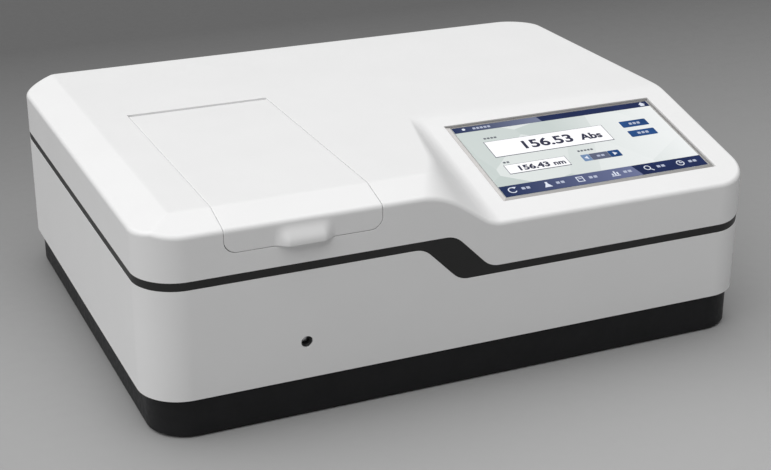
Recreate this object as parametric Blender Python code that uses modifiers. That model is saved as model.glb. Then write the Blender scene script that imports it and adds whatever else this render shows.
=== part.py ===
"""A benchtop UV-visible spectrophotometer, modelled as the separate pieces it is built from.

Metres, +Z up. The instrument stands on the plane z = 0, its front faces -Y, and its longest side
runs along X. Places are given in bench coordinates: x from the left wall, y from the front wall
backwards, z up from the table. at() turns them into the model's own frame, whose origin is the
middle of the bottom of the whole instrument.
"""
import math

import bmesh
import bpy
from mathutils import Euler, Matrix, Vector

MM = 0.001
GAP = 0.3 * MM

# ------------------------------------------------------------------ driving dimensions: casing
WIDTH = 590 * MM
DEPTH = 457 * MM
CORNER = 39 * MM
WALL = 3 * MM
PLATEAU = 192.5 * MM
EDGE_TOP = 183.5 * MM
CHAMFER = 33 * MM
FRONT_ROUND = 3.5 * MM
REAR_ROUND = 8 * MM
SHELL_BOTTOM = 36 * MM
LOWER_TOP = 136.3 * MM
UPPER_BOTTOM = 143.9 * MM
STEP = 34.5 * MM
LOWER_STEP_X = (239.4 * MM, 290.5 * MM)
UPPER_STEP_X = (268.5 * MM, 320.6 * MM)
STEP_END_SOFTNESS = 2 * MM
TRIM_FACE = 0.7 * MM
TRIM_LAP_DEPTH = (3.4 * MM, 5.9 * MM)
TRIM_LAP = 5 * MM

# ------------------------------------------------------------------ console and screen
LIP = 149.6 * MM
CONSOLE_BACK = 168.5 * MM
CONSOLE_SLOPE = (PLATEAU - LIP) / CONSOLE_BACK
TILT = math.atan(CONSOLE_SLOPE)
CREASE_SOFTNESS = 1.5 * MM
FLANK_KNEE = (281 * MM, 65 * MM)
FLANK_FAN = 0.28
FLANK_FRONT_FAN = 0.29
FLANK_KNEE_SOFTNESS = 8 * MM
FLANK_STEEP = (286 * MM, 35 * MM)
FLANK_STEEP_FAN = 0.19
FLANK_FOOT_X = (302 * MM, 323 * MM)
SCREEN_X = (338 * MM, 563 * MM)
SCREEN_Y = (28 * MM, 151 * MM)
BEZEL_BORDER = 4.8 * MM

# ------------------------------------------------------------------ sample lid
LID_X = (69 * MM, 209 * MM)
LID_MIDDLE = 139 * MM
LID_GAP = 0.5 * MM
LID_EDGE_ROUND = 6.2 * MM
LID_AXIS_Y = 282 * MM
LID_AXIS_Z = PLATEAU - LID_EDGE_ROUND
FLAP_BOTTOM = 162.4 * MM
FLAP_CORNER = 11 * MM
GRIP_WIDTH = 56 * MM
GRIP_OUT = 7 * MM
GRIP_TOP = 179 * MM
HINGE_PIN_R = 1.5 * MM

# ------------------------------------------------------------------ sample compartment
BEAM_Z = 100 * MM
BEAM_Y = 150 * MM
ROD_Z = 70.3 * MM
ROD_R = 3 * MM
ROD_HOLE_R = 5.3 * MM
PIT_X = (80 * MM, 198 * MM)
PIT_Y = (44 * MM, 264 * MM)
PIT_FLOOR = 60 * MM
CHAMBER_RIM = 186.2 * MM
SILL_Z = 160.5 * MM
CELL_SIZE = 12.8 * MM
CELL_PITCH = 24 * MM
CELL_COUNT = 4
RAIL_X = (118 * MM, 160 * MM)
RAIL_R = 3 * MM

# ------------------------------------------------------------------ base
PLINTH_INSET_X = 5.7 * MM
PLINTH_INSET_Y = 1.3 * MM
PLINTH_BOTTOM = 1.8 * MM
FOOT_R = 12 * MM
CHASSIS_Z = (38 * MM, 41 * MM)
DECK_Z = CHASSIS_Z[1] + GAP
BOARD_Z = 48 * MM
MAIN_BOARD_X = (432 * MM, 574 * MM)
MAIN_BOARD_Y = (26 * MM, 262 * MM)

# ------------------------------------------------------------------ optics
MONO_X = (222 * MM, 420 * MM)
MONO_Y = (112 * MM, 385 * MM)
MONO_TOP = 132 * MM
SLIT_IN_Y = 345 * MM
GRATING_AT = (262 * MM, 247 * MM)
MIRROR_AT = (78 * MM, 345 * MM)
WHEEL_R = 24 * MM
WHEEL_OFFSET = 16 * MM

# ------------------------------------------------------------------ rear panel
PANEL_X = (46 * MM, 544 * MM)
PANEL_Z = (46 * MM, 124 * MM)
PANEL_FACE = DEPTH - WALL - GAP
FAN_AT = (110 * MM, 85 * MM)
FAN_SIZE = 60 * MM
INLET_AT = (510 * MM, 70 * MM)
SWITCH_AT = (470 * MM, 70 * MM)
USB_AT = (420 * MM, 66 * MM)
SERIAL_AT = (370 * MM, 68 * MM)
ROCKER_THROW = 16


def at(x, y, z):
    """Bench coordinates to the model's frame."""
    return Vector((x - WIDTH / 2, y - (DEPTH - GRIP_OUT) / 2, z))


# ------------------------------------------------------------------ scene helpers
def clear_scene():
    for old in list(bpy.data.objects):
        bpy.data.objects.remove(old, do_unlink=True)


def new_collection(name):
    made = bpy.data.collections.new(name)
    bpy.context.scene.collection.children.link(made)
    return made


clear_scene()
PARTS = new_collection("spectrophotometer")
CUTTERS = new_collection("cutters")


def material(name, colour, roughness, metallic=0.0):
    found = bpy.data.materials.get(name)
    if found:
        return found
    made = bpy.data.materials.new(name)
    made.use_nodes = True
    shader = made.node_tree.nodes["Principled BSDF"]
    shader.inputs["Base Color"].default_value = (*colour, 1.0)
    shader.inputs["Roughness"].default_value = roughness
    shader.inputs["Metallic"].default_value = metallic
    return made


def shell_white():
    return material("shell_white", (0.80, 0.80, 0.79), 0.42)


def plinth_black():
    return material("plinth_black", (0.018, 0.018, 0.020), 0.5)


def trim_charcoal():
    return material("trim_charcoal", (0.022, 0.022, 0.022), 0.45)


def inner_black():
    return material("inner_black", (0.012, 0.012, 0.012), 0.7)


def rubber():
    return material("rubber", (0.02, 0.02, 0.02), 0.85)


def frame_silver():
    return material("frame_silver", (0.55, 0.54, 0.52), 0.35, 0.8)


def glass():
    return material("glass", (0.75, 0.83, 0.86), 0.08)


def steel():
    return material("steel", (0.60, 0.60, 0.61), 0.28, 1.0)


def aluminium():
    return material("aluminium", (0.70, 0.71, 0.72), 0.4, 0.9)


def black_anodised():
    return material("black_anodised", (0.02, 0.02, 0.022), 0.55, 0.5)


def mirror_coat():
    return material("mirror_coat", (0.88, 0.89, 0.90), 0.04, 1.0)


def board_green():
    return material("board_green", (0.02, 0.16, 0.07), 0.5)


def add_object(name, mesh, look=None, place=None, turn=None):
    """Links a mesh as a named piece, or as a hidden cutter when it has no material."""
    mesh.name = name
    made = bpy.data.objects.new(name, mesh)
    if look:
        mesh.materials.append(look)
        PARTS.objects.link(made)
    else:
        made.hide_render = True
        made.display_type = "WIRE"
        CUTTERS.objects.link(made)
    if place is not None:
        made.location = place
    if turn is not None:
        made.rotation_euler = turn
    return made


def finish_mesh(bm, smooth=True):
    bmesh.ops.recalc_face_normals(bm, faces=bm.faces)
    mesh = bpy.data.meshes.new("mesh")
    bm.to_mesh(mesh)
    bm.free()
    if smooth:
        mesh.shade_smooth()
        mesh.set_sharp_from_angle(angle=math.radians(32))
    return mesh


def box_mesh(size, bevel=0.0, segments=2):
    bm = bmesh.new()
    bmesh.ops.create_cube(bm, size=1.0)
    bmesh.ops.scale(bm, vec=size, verts=bm.verts)
    if bevel:
        bmesh.ops.bevel(bm, geom=bm.edges[:], offset=bevel, segments=segments, affect="EDGES")
    return finish_mesh(bm)


def box(name, low, high, look=None, bevel=0.0, segments=2):
    """A block between two opposite corners given in bench coordinates."""
    size = Vector([b - a for a, b in zip(low, high)])
    middle = [(a + b) / 2 for a, b in zip(low, high)]
    return add_object(name, box_mesh(size, bevel, segments), look, at(*middle))


AXIS_TURN = {"x": Euler((0, math.pi / 2, 0)), "y": Euler((-math.pi / 2, 0, 0)), "z": Euler((0, 0, 0))}


def cone_mesh(radius, tip_radius, length, sides, axis):
    bm = bmesh.new()
    bmesh.ops.create_cone(bm, cap_ends=True, segments=sides, radius1=radius, radius2=tip_radius,
                          depth=length)
    bmesh.ops.rotate(bm, matrix=AXIS_TURN[axis].to_matrix(), verts=bm.verts, cent=(0, 0, 0))
    return finish_mesh(bm)


def rod(name, middle, radius, length, axis, look=None, sides=24, tip_radius=None):
    """A cylinder, or a cone with a tip radius, about a bench point and along one axis."""
    tip = radius if tip_radius is None else tip_radius
    return add_object(name, cone_mesh(radius, tip, length, sides, axis), look, at(*middle))


def boolean(target, operation, tools):
    for tool in tools:
        step = target.modifiers.new(tool.name, "BOOLEAN")
        step.operation = operation
        step.solver = "EXACT"
        step.object = tool
    return target


def cut(target, *tools):
    return boolean(target, "DIFFERENCE", tools)


def join(target, *tools):
    return boolean(target, "UNION", tools)


def child_of(parent, *pieces):
    """Parents pieces to an empty and keeps where they are."""
    bpy.context.view_layer.update()
    for piece in pieces:
        piece.parent = parent
        piece.matrix_parent_inverse = parent.matrix_world.inverted()


def joint_empty(name, x, y, z):
    made = bpy.data.objects.new(name, None)
    made.location = at(x, y, z)
    made.empty_display_size = 0.02
    PARTS.objects.link(made)
    return made


# ------------------------------------------------------------------ shape of the casing
def clamp(value, low=0.0, high=1.0):
    return max(low, min(high, value))


def ease(value):
    t = clamp(value)
    return t * t * (3 - 2 * t)


def deck(x, y):
    """The flat top and the shallow chamfers along its left and front edges."""
    rise = (PLATEAU - EDGE_TOP) / CHAMFER
    return min(PLATEAU, EDGE_TOP + rise * min(x, y))


def flank_edge(y):
    """The slope beside the console at depth y: where it sets in, and where it is at its steepest."""
    depth = min(y, CONSOLE_BACK)
    behind = depth - FLANK_KNEE[1]
    bend = (behind - math.hypot(behind, FLANK_KNEE_SOFTNESS)) / 2
    start = FLANK_KNEE[0] + FLANK_FAN * behind + FLANK_FRONT_FAN * bend
    steep = FLANK_STEEP[0] + FLANK_STEEP_FAN * max(0, depth - FLANK_STEEP[1])
    return start, steep


def flank_share(x, y):
    """How far the slope beside the console has come down at x: 0 on the deck, 1 on the console.

    Its steepness grows over the rounded edge, stays the same, and runs out over a hollow foot.
    """
    start, steep = flank_edge(y)
    fading, end = max(FLANK_FOOT_X[0], steep), FLANK_FOOT_X[1]
    rise = clamp(x, start, steep) - start
    level = clamp(x, steep, fading) - steep
    fade = clamp(x, fading, end) - fading
    come = rise ** 2 / (2 * (steep - start)) + level + fade - fade ** 2 / (2 * (end - fading))
    return come / ((steep - start) / 2 + fading - steep + (end - fading) / 2)


def top_height(x, y):
    """Outer surface of the upper shell, before its edges are rounded."""
    fall = deck(x, y) - (LIP + CONSOLE_SLOPE * y)
    fall = (fall + math.hypot(fall, CREASE_SOFTNESS)) / 2
    if y > CONSOLE_BACK + 20 * MM:
        fall = 0.0
    return deck(x, y) - fall * flank_share(x, min(y, CONSOLE_BACK))


def step_fall(x, span):
    """An S made of two equal arcs and a 45 degree line, falling by STEP across the span."""
    length = span[1] - span[0]
    radius = (length - STEP) / (2 * math.tan(math.radians(22.5)))
    reach = radius * math.sin(math.radians(45))
    d = clamp(x - span[0], 0.0, length)
    if d <= reach:
        return radius - math.sqrt(radius ** 2 - d ** 2)
    if d >= length - reach:
        return STEP - radius + math.sqrt(max(radius ** 2 - (length - d) ** 2, 0.0))
    return radius * (1 - math.cos(math.radians(45))) + d - reach


def side_share(y):
    """The step keeps pace with the console and fades out where the deck begins."""
    left = STEP - y * CONSOLE_SLOPE
    return clamp((left + math.hypot(left, STEP_END_SOFTNESS)) / 2 / STEP)


def lower_rim(x, y):
    return LOWER_TOP - step_fall(x, LOWER_STEP_X) * side_share(y)


def upper_rim(x, y):
    return UPPER_BOTTOM - step_fall(x, UPPER_STEP_X) * side_share(y)


def edge_round(y):
    """Radius of the top edge at depth y: small along the sides and the front, larger at the rear."""
    return FRONT_ROUND + (REAR_ROUND - FRONT_ROUND) * ease((y / DEPTH - 0.92) / 0.08)


def spread(low, high, count):
    return [low + (high - low) * k / count for k in range(count + 1)]


STATIONS_X = ([CORNER, 90 * MM, LID_MIDDLE, 190 * MM, 225 * MM] + spread(238 * MM, 334 * MM, 12)
              + spread(360 * MM, WIDTH - CORNER, 4))
STATIONS_Y = ([CORNER, 62 * MM, 90 * MM, 112 * MM, 134 * MM, 152 * MM, CONSOLE_BACK, 176 * MM]
              + spread(230 * MM, DEPTH - CORNER, 4))
CORNER_STEPS = 6


def corner_stations(x, y, start):
    made = []
    for k in range(1, CORNER_STEPS):
        angle = math.radians(start + 90 * k / CORNER_STEPS)
        across, along = math.cos(angle), math.sin(angle)
        made.append((x + CORNER * across, y + CORNER * along, -across, -along))
    return made


def wall_stations():
    """Points on the casing's outer wall and their inward normals, anticlockwise seen from above."""
    right, back = WIDTH - CORNER, DEPTH - CORNER
    made = [(x, 0.0, 0.0, 1.0) for x in STATIONS_X]
    made += corner_stations(right, CORNER, -90)
    made += [(WIDTH, y, -1.0, 0.0) for y in STATIONS_Y]
    made += corner_stations(right, back, 0)
    made += [(x, DEPTH, 0.0, -1.0) for x in reversed(STATIONS_X)]
    made += corner_stations(CORNER, back, 90)
    made += [(0.0, y, 1.0, 0.0) for y in reversed(STATIONS_Y)]
    made += corner_stations(CORNER, CORNER, 180)
    return made


def make_vertex(bm, known, x, y, z):
    key = (round(x, 6), round(y, 6), round(z, 6))
    if key not in known:
        known[key] = bm.verts.new(at(x, y, z))
    return known[key]


def ring(bm, known, inset, height):
    """A loop of vertices inside the wall. Inset and height are functions of a wall point."""
    made = []
    for x, y, nx, ny in wall_stations():
        d = inset(x, y)
        px, py = x + nx * d, y + ny * d
        made.append(make_vertex(bm, known, px, py, height(px, py)))
    return made


def bridge(bm, first, second):
    count = len(first)
    for k in range(count):
        after = (k + 1) % count
        corners = list(dict.fromkeys((first[k], first[after], second[after], second[k])))
        if len(corners) > 2:
            bm.faces.new(corners)


def fill_inside(bm, known, height):
    """The rectangular grid inside the innermost ring."""
    for x0, x1 in zip(STATIONS_X, STATIONS_X[1:]):
        for y0, y1 in zip(STATIONS_Y, STATIONS_Y[1:]):
            corners = ((x0, y0), (x1, y0), (x1, y1), (x0, y1))
            bm.faces.new([make_vertex(bm, known, x, y, height(x, y)) for x, y in corners])


def casing_lid_mesh():
    """The whole upper shell before its openings are cut: a bell with a rounded top edge."""
    bm = bmesh.new()
    known = {}
    inner_known = {}
    rings = [ring(bm, known, lambda x, y: 0.0, upper_rim)]
    for degrees in (0, 30, 60, 90):
        turn = math.radians(degrees)

        def inset(x, y, turn=turn):
            return edge_round(y) * (1 - math.cos(turn))

        def height(x, y, turn=turn):
            return top_height(x, y) - edge_round(y) * (1 - math.sin(turn))
        rings.append(ring(bm, known, inset, height))
    for depth in (18 * MM, CHAMFER, CORNER):
        rings.append(ring(bm, known, lambda x, y, depth=depth: depth, top_height))
    for first, second in zip(rings, rings[1:]):
        bridge(bm, first, second)
    fill_inside(bm, known, top_height)

    def underside(x, y):
        return top_height(x, y) - WALL

    def inner_edge(x, y):
        return top_height(x, y) - edge_round(y)
    inner = [ring(bm, inner_known, lambda x, y: WALL, upper_rim),
             ring(bm, inner_known, lambda x, y: WALL, inner_edge)]
    for depth in (9 * MM, 18 * MM, CHAMFER, CORNER):
        inner.append(ring(bm, inner_known, lambda x, y, depth=depth: depth, underside))
    for first, second in zip(inner, inner[1:]):
        bridge(bm, second, first)
    fill_inside(bm, inner_known, underside)
    bridge(bm, inner[0], rings[0])
    bmesh.ops.triangulate(bm, faces=bm.faces)
    return finish_mesh(bm)


def band_mesh(profile):
    """A closed band on the casing's outline. The profile lists (inset, height function) round it."""
    bm = bmesh.new()
    loops = [ring(bm, {}, lambda x, y, inset=inset: inset, height) for inset, height in profile]
    for first, second in zip(loops, loops[1:] + loops[:1]):
        bridge(bm, first, second)
    return finish_mesh(bm)


def rounded_plate(name, low, high, radius, look=None, steps=6):
    """An upright prism with a rounded rectangle for its plan."""
    bm = bmesh.new()
    corners = ((high[0] - radius, low[1] + radius, -90), (high[0] - radius, high[1] - radius, 0),
               (low[0] + radius, high[1] - radius, 90), (low[0] + radius, low[1] + radius, 180))
    plan = []
    for x, y, start in corners:
        for k in range(steps + 1):
            angle = math.radians(start + 90 * k / steps)
            spot = at(x + radius * math.cos(angle), y + radius * math.sin(angle), low[2])
            plan.append(bm.verts.new(spot))
    face = bm.faces.new(plan)
    grown = bmesh.ops.extrude_face_region(bm, geom=[face])
    raised = [v for v in grown["geom"] if isinstance(v, bmesh.types.BMVert)]
    bmesh.ops.translate(bm, vec=(0, 0, high[2] - low[2]), verts=raised)
    return add_object(name, finish_mesh(bm), look)


# ------------------------------------------------------------------ casing
def lid_prism(name, gap, front, back):
    """The lid's outline in front view, with rounded lower corners, swept from front to back."""
    left, right = LID_X[0] + gap, LID_X[1] - gap
    bottom = FLAP_BOTTOM + gap
    high = PLATEAU + 20 * MM
    radius = FLAP_CORNER
    outline = [(left, high), (right, high)]
    for x, start in ((right - radius, 0), (left + radius, -90)):
        for k in range(7):
            angle = math.radians(start - 15 * k)
            outline.append((x + radius * math.cos(angle), bottom + radius + radius * math.sin(angle)))
    bm = bmesh.new()
    face = bm.faces.new([bm.verts.new(at(x, front, z)) for x, z in outline])
    grown = bmesh.ops.extrude_face_region(bm, geom=[face])
    moved = [v for v in grown["geom"] if isinstance(v, bmesh.types.BMVert)]
    bmesh.ops.translate(bm, vec=(0, back - front, 0), verts=moved)
    return add_object(name, finish_mesh(bm))


def upper_shell():
    shell = add_object("upper_shell", casing_lid_mesh(), shell_white())
    opening = lid_prism("lid_opening", 0.0, -20 * MM, LID_AXIS_Y + LID_EDGE_ROUND + LID_GAP)
    window = console_box("screen_opening", SCREEN_X, SCREEN_Y, (-12 * MM, 12 * MM))
    return cut(shell, opening, window)


def lower_shell():
    def foot(x, y):
        return SHELL_BOTTOM
    mesh = band_mesh(((0.0, foot), (0.0, lower_rim), (WALL, lower_rim), (WALL, foot)))
    shell = add_object("lower_shell", mesh, shell_white())
    hole = rod("rod_hole", (LID_MIDDLE, 0, ROD_Z), ROD_HOLE_R, 20 * MM, "y")
    rear = box("rear_window", (PANEL_X[0] + 6 * MM, DEPTH - 12 * MM, PANEL_Z[0] + 5 * MM),
               (PANEL_X[1] - 6 * MM, DEPTH + 12 * MM, PANEL_Z[1] - 5 * MM))
    return cut(shell, hole, rear)


def seam_trim():
    """A dark band that fills the joint between the shells, nearly flush, and laps behind both."""
    def above(lift):
        return lambda x, y: upper_rim(x, y) + lift

    def below(lift):
        return lambda x, y: lower_rim(x, y) + lift
    outer, inner = TRIM_LAP_DEPTH
    profile = ((TRIM_FACE, below(GAP)), (TRIM_FACE, above(-GAP)), (outer, above(-GAP)),
               (outer, above(TRIM_LAP)), (inner, above(TRIM_LAP)), (inner, below(-TRIM_LAP)),
               (outer, below(-TRIM_LAP)), (outer, below(GAP)))
    return add_object("seam_trim", band_mesh(profile), trim_charcoal())


def foot_places():
    for row, y in (("front", 52 * MM), ("rear", DEPTH - 52 * MM)):
        for side, x in (("left", 58 * MM), ("right", WIDTH - 58 * MM)):
            yield row + "_" + side, x, y


def base_plinth():
    low = (PLINTH_INSET_X, PLINTH_INSET_Y, PLINTH_BOTTOM)
    high = (WIDTH - PLINTH_INSET_X, DEPTH - PLINTH_INSET_Y, SHELL_BOTTOM - GAP)
    plinth = rounded_plate("base_plinth", low, high, CORNER - 3 * MM, plinth_black())
    skin = 3.5 * MM
    hollow = rounded_plate("plinth_hollow", (low[0] + skin, low[1] + skin, low[2] + 4 * MM),
                           (high[0] - skin, high[1] - skin, high[2] + 5 * MM), 34 * MM)
    cut(plinth, hollow)
    for place, x, y in foot_places():
        cut(plinth, rod("foot_seat_" + place, (x, y, PLINTH_BOTTOM), FOOT_R + GAP, 4 * MM, "z",
                        sides=20))
    return plinth


def feet():
    height = PLINTH_BOTTOM + 2 * MM - GAP
    for place, x, y in foot_places():
        rod("foot_" + place, (x, y, height / 2), FOOT_R, height, "z", rubber(), 20,
            FOOT_R - 0.6 * MM).rotation_euler = (math.pi, 0, 0)


def chassis_plate():
    """The plate that carries everything inside, with the main board's pillars pressed into it."""
    plate = rounded_plate("chassis_plate", (8 * MM, 6 * MM, CHASSIS_Z[0]),
                          (WIDTH - 8 * MM, DEPTH - 6 * MM, CHASSIS_Z[1]), 30 * MM, aluminium(), 4)
    low, high = CHASSIS_Z[1] - 1 * MM, BOARD_Z - GAP
    for x in (MAIN_BOARD_X[0] + 6 * MM, MAIN_BOARD_X[1] - 6 * MM):
        for y in (MAIN_BOARD_Y[0] + 6 * MM, MAIN_BOARD_Y[1] - 6 * MM):
            join(plate, rod("pillar", (x, y, (low + high) / 2), 3.2 * MM, high - low, "z", sides=6))
    return plate


def rod_bush():
    bush = rod("rod_bush", (LID_MIDDLE, 7 * MM, ROD_Z), ROD_HOLE_R - GAP, 11 * MM, "y", inner_black())
    return cut(bush, rod("bush_bore", (LID_MIDDLE, 7 * MM, ROD_Z), ROD_R + 0.4 * MM, 20 * MM, "y"))


# ------------------------------------------------------------------ lid and hinge
def grip_mesh():
    """A soft bulge on the flap: it grows downwards and ends in a flat underside."""
    bm = bmesh.new()
    columns, rows = 14, 5
    half = GRIP_WIDTH / 2
    bottom = FLAP_BOTTOM + LID_GAP + 0.4 * MM
    front = []
    back = []
    for row in range(rows + 1):
        z = bottom + (GRIP_TOP - bottom) * row / rows
        reach = (GRIP_OUT + GAP) * math.sqrt(1 - (row / rows) ** 2)
        for column in range(columns + 1):
            x = -half + GRIP_WIDTH * column / columns
            shoulder = ease((half - abs(x)) / (9 * MM))
            front.append(bm.verts.new(at(LID_MIDDLE + x, GAP - reach * shoulder, z)))
            back.append(bm.verts.new(at(LID_MIDDLE + x, 1.5 * MM, z)))
    across = columns + 1
    for row in range(rows):
        for column in range(columns):
            a = row * across + column
            quad = (a, a + 1, a + 1 + across, a + across)
            bm.faces.new([front[k] for k in quad])
            bm.faces.new([back[k] for k in reversed(quad)])
    border = ([k for k in range(across)] + [row * across + columns for row in range(1, rows + 1)]
              + [rows * across + k for k in reversed(range(columns))]
              + [row * across for row in reversed(range(1, rows))])
    for a, b in zip(border, border[1:] + border[:1]):
        bm.faces.new((front[b], front[a], back[a], back[b]))
    bmesh.ops.triangulate(bm, faces=bm.faces)
    return finish_mesh(bm)


def sample_lid():
    lid = add_object("sample_lid", casing_lid_mesh(), shell_white())
    boolean(lid, "INTERSECT", [lid_prism("lid_shape", LID_GAP, -20 * MM, LID_AXIS_Y + 1 * MM)])
    length = LID_X[1] - LID_X[0] - 2 * LID_GAP
    middle = (LID_MIDDLE, LID_AXIS_Y, LID_AXIS_Z)
    join(lid, rod("lid_barrel", middle, LID_EDGE_ROUND - 0.1 * MM, length - 0.2 * MM, "x", sides=28))
    join(lid, add_object("grip", grip_mesh()))
    cut(lid, rod("lid_bore", middle, HINGE_PIN_R + 0.4 * MM, length + 20 * MM, "x", sides=16))
    return lid


def hinge():
    reach = 9 * MM
    length = LID_X[1] - LID_X[0] + 2 * reach
    middle = (LID_MIDDLE, LID_AXIS_Y, LID_AXIS_Z)
    rod("hinge_pin", middle, HINGE_PIN_R, length, "x", steel(), 16)
    for side, x0, x1 in (("left", LID_X[0] - 12 * MM, LID_X[0] - 0.6 * MM),
                         ("right", LID_X[1] + 0.6 * MM, LID_X[1] + 12 * MM)):
        block = box("hinge_bracket_" + side, (x0, 275 * MM, 172 * MM),
                    (x1, 291 * MM, PLATEAU - WALL - GAP), steel(), 0.8 * MM, 1)
        cut(block, rod("bracket_bore_" + side, middle, HINGE_PIN_R + GAP, length + 20 * MM, "x",
                       sides=16))


# ------------------------------------------------------------------ sample compartment
def sample_chamber():
    left, right = LID_X[0] - 7 * MM, LID_X[1] + 7 * MM
    wall = 3.5 * MM
    body = box("sample_chamber", (PIT_X[0] - wall, PIT_Y[0] - wall, DECK_Z),
               (PIT_X[1] + wall, PIT_Y[1] + wall, CHAMBER_RIM - 1 * MM), inner_black())
    join(body,
         box("rim_plate", (left, 33 * MM, CHAMBER_RIM - wall), (right, 272 * MM, CHAMBER_RIM)),
         box("sill", (left, WALL + GAP, SILL_Z - wall), (right, PIT_Y[0] - 1 * MM, SILL_Z)),
         box("apron", (left, 33 * MM, SILL_Z - 2 * MM), (right, 37 * MM, CHAMBER_RIM - 1 * MM)),
         box("cheek_left", (left, WALL + GAP, SILL_Z - 2 * MM), (left + wall, 35 * MM, 179.5 * MM)),
         box("cheek_right", (right - wall, WALL + GAP, SILL_Z - 2 * MM), (right, 35 * MM, 179.5 * MM)))
    cut(body,
        box("pit", (PIT_X[0], PIT_Y[0], PIT_FLOOR), (PIT_X[1], PIT_Y[1], 250 * MM)),
        box("underside_recess", (PIT_X[0] + 4 * MM, PIT_Y[0] + 5 * MM, 0),
            (PIT_X[1] - 4 * MM, PIT_Y[1] - 5 * MM, PIT_FLOOR - wall)),
        rod("beam_holes", (LID_MIDDLE, BEAM_Y, BEAM_Z), 7 * MM, 200 * MM, "x", sides=16),
        rod("chamber_rod_hole", (LID_MIDDLE, PIT_Y[0], ROD_Z), ROD_R + 0.5 * MM, 20 * MM, "y", sides=16))
    return body


def lid_seal():
    low = (LID_X[0] + 3 * MM, 35 * MM, CHAMBER_RIM + GAP)
    high = (LID_X[1] - 3 * MM, 270 * MM, PLATEAU - WALL - GAP)
    seal = rounded_plate("lid_seal", low, high, 6 * MM, rubber(), 4)
    band = 5 * MM
    inner = rounded_plate("seal_inside", (low[0] + band, low[1] + band, low[2] - band),
                          (high[0] - band, high[1] - band, high[2] + band), 4 * MM, None, 4)
    return cut(seal, inner)


def guide_rails():
    for side, x in zip(("left", "right"), RAIL_X):
        rod("guide_rail_" + side, (x, (PIT_Y[0] + PIT_Y[1]) / 2, ROD_Z), RAIL_R,
            PIT_Y[1] - PIT_Y[0] - 2 * GAP, "y", steel(), 16)


def cell_rack():
    """A block with one square pocket for each cell, a beam window through each, and rail bores."""
    front = BEAM_Y - CELL_PITCH / 2
    back = front + CELL_PITCH * CELL_COUNT
    middle_y = (front + back) / 2
    rack = box("cell_rack", (RAIL_X[0] - 7 * MM, front, 62.5 * MM),
               (RAIL_X[1] + 7 * MM, back, 78 * MM), black_anodised())
    join(rack, box("rack_tower", (128 * MM, front, 76 * MM), (150 * MM, back, 122 * MM)))
    for k in range(CELL_COUNT):
        y = BEAM_Y + k * CELL_PITCH
        half = CELL_SIZE / 2
        cut(rack,
            box("cell_pocket_%d" % k, (LID_MIDDLE - half, y - half, 80 * MM),
                (LID_MIDDLE + half, y + half, 140 * MM)),
            box("cell_window_%d" % k, (100 * MM, y - 4 * MM, 90 * MM),
                (180 * MM, y + 4 * MM, 112 * MM)))
    for k, x in enumerate(RAIL_X):
        cut(rack, rod("rail_bore_%d" % k, (x, middle_y, ROD_Z), RAIL_R + 0.5 * MM, 200 * MM, "y",
                      sides=16))
    return cut(rack, rod("rod_socket", (LID_MIDDLE, front, ROD_Z), ROD_R + GAP, 24 * MM, "y",
                         sides=16))


def pull_rod():
    near, far = 7 * MM, BEAM_Y - CELL_PITCH / 2 + 11 * MM
    return rod("pull_rod", (LID_MIDDLE, (near + far) / 2, ROD_Z), ROD_R, far - near, "y", steel(), 16)


def cell_changer():
    slide = joint_empty("cell_slide", LID_MIDDLE, BEAM_Y, ROD_Z)
    child_of(slide, cell_rack(), pull_rod())


# ------------------------------------------------------------------ console and screen
def console_point(x, y, lift):
    """A point on the console plane, raised along its normal."""
    return at(x, y - lift * math.sin(TILT), LIP + CONSOLE_SLOPE * y + lift * math.cos(TILT))


def console_box(name, span_x, span_y, span_lift, look=None, bevel=0.0):
    """A block lying in the console plane: spans along x, plan depth y, and height off the plane."""
    size = Vector((span_x[1] - span_x[0], (span_y[1] - span_y[0]) / math.cos(TILT),
                   span_lift[1] - span_lift[0]))
    middle = console_point(sum(span_x) / 2, sum(span_y) / 2, sum(span_lift) / 2)
    return add_object(name, box_mesh(size, bevel), look, middle, (TILT, 0, 0))


def grown(span, margin):
    return (span[0] - margin, span[1] + margin)


def screen_stack():
    """A sloping frame round a bonded glass and panel, with the driver board behind them."""
    bezel = console_box("display_bezel", grown(SCREEN_X, -GAP), grown(SCREEN_Y, -GAP),
                        (-4 * MM, -0.4 * MM), frame_silver())
    inside = -GAP - BEZEL_BORDER
    cut(bezel, console_box("bezel_window", grown(SCREEN_X, inside), grown(SCREEN_Y, inside),
                           (-12 * MM, 12 * MM)))
    panel_x, panel_y = grown(SCREEN_X, inside - GAP), grown(SCREEN_Y, inside - GAP)
    console_box("touch_glass", panel_x, panel_y, (-2 * MM, -0.6 * MM), glass())
    console_box("lcd_panel", panel_x, panel_y, (-7.5 * MM, -2.3 * MM), inner_black())
    board = console_box("display_board", grown(SCREEN_X, -20 * MM), grown(SCREEN_Y, -14 * MM),
                        (-9.4 * MM, -7.8 * MM), board_green())
    join(board, console_box("display_socket", (430 * MM, 470 * MM), (60 * MM, 68 * MM),
                            (-15 * MM, -9 * MM)),
         console_box("display_chip", (420 * MM, 446 * MM), (88 * MM, 114 * MM),
                     (-12 * MM, -9 * MM)))


# ------------------------------------------------------------------ light source
def stand(name, x, y, half, bottom, top, look):
    return box(name, (x - half, y - half, bottom), (x + half, y + half, top), look, 1 * MM, 1)


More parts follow.
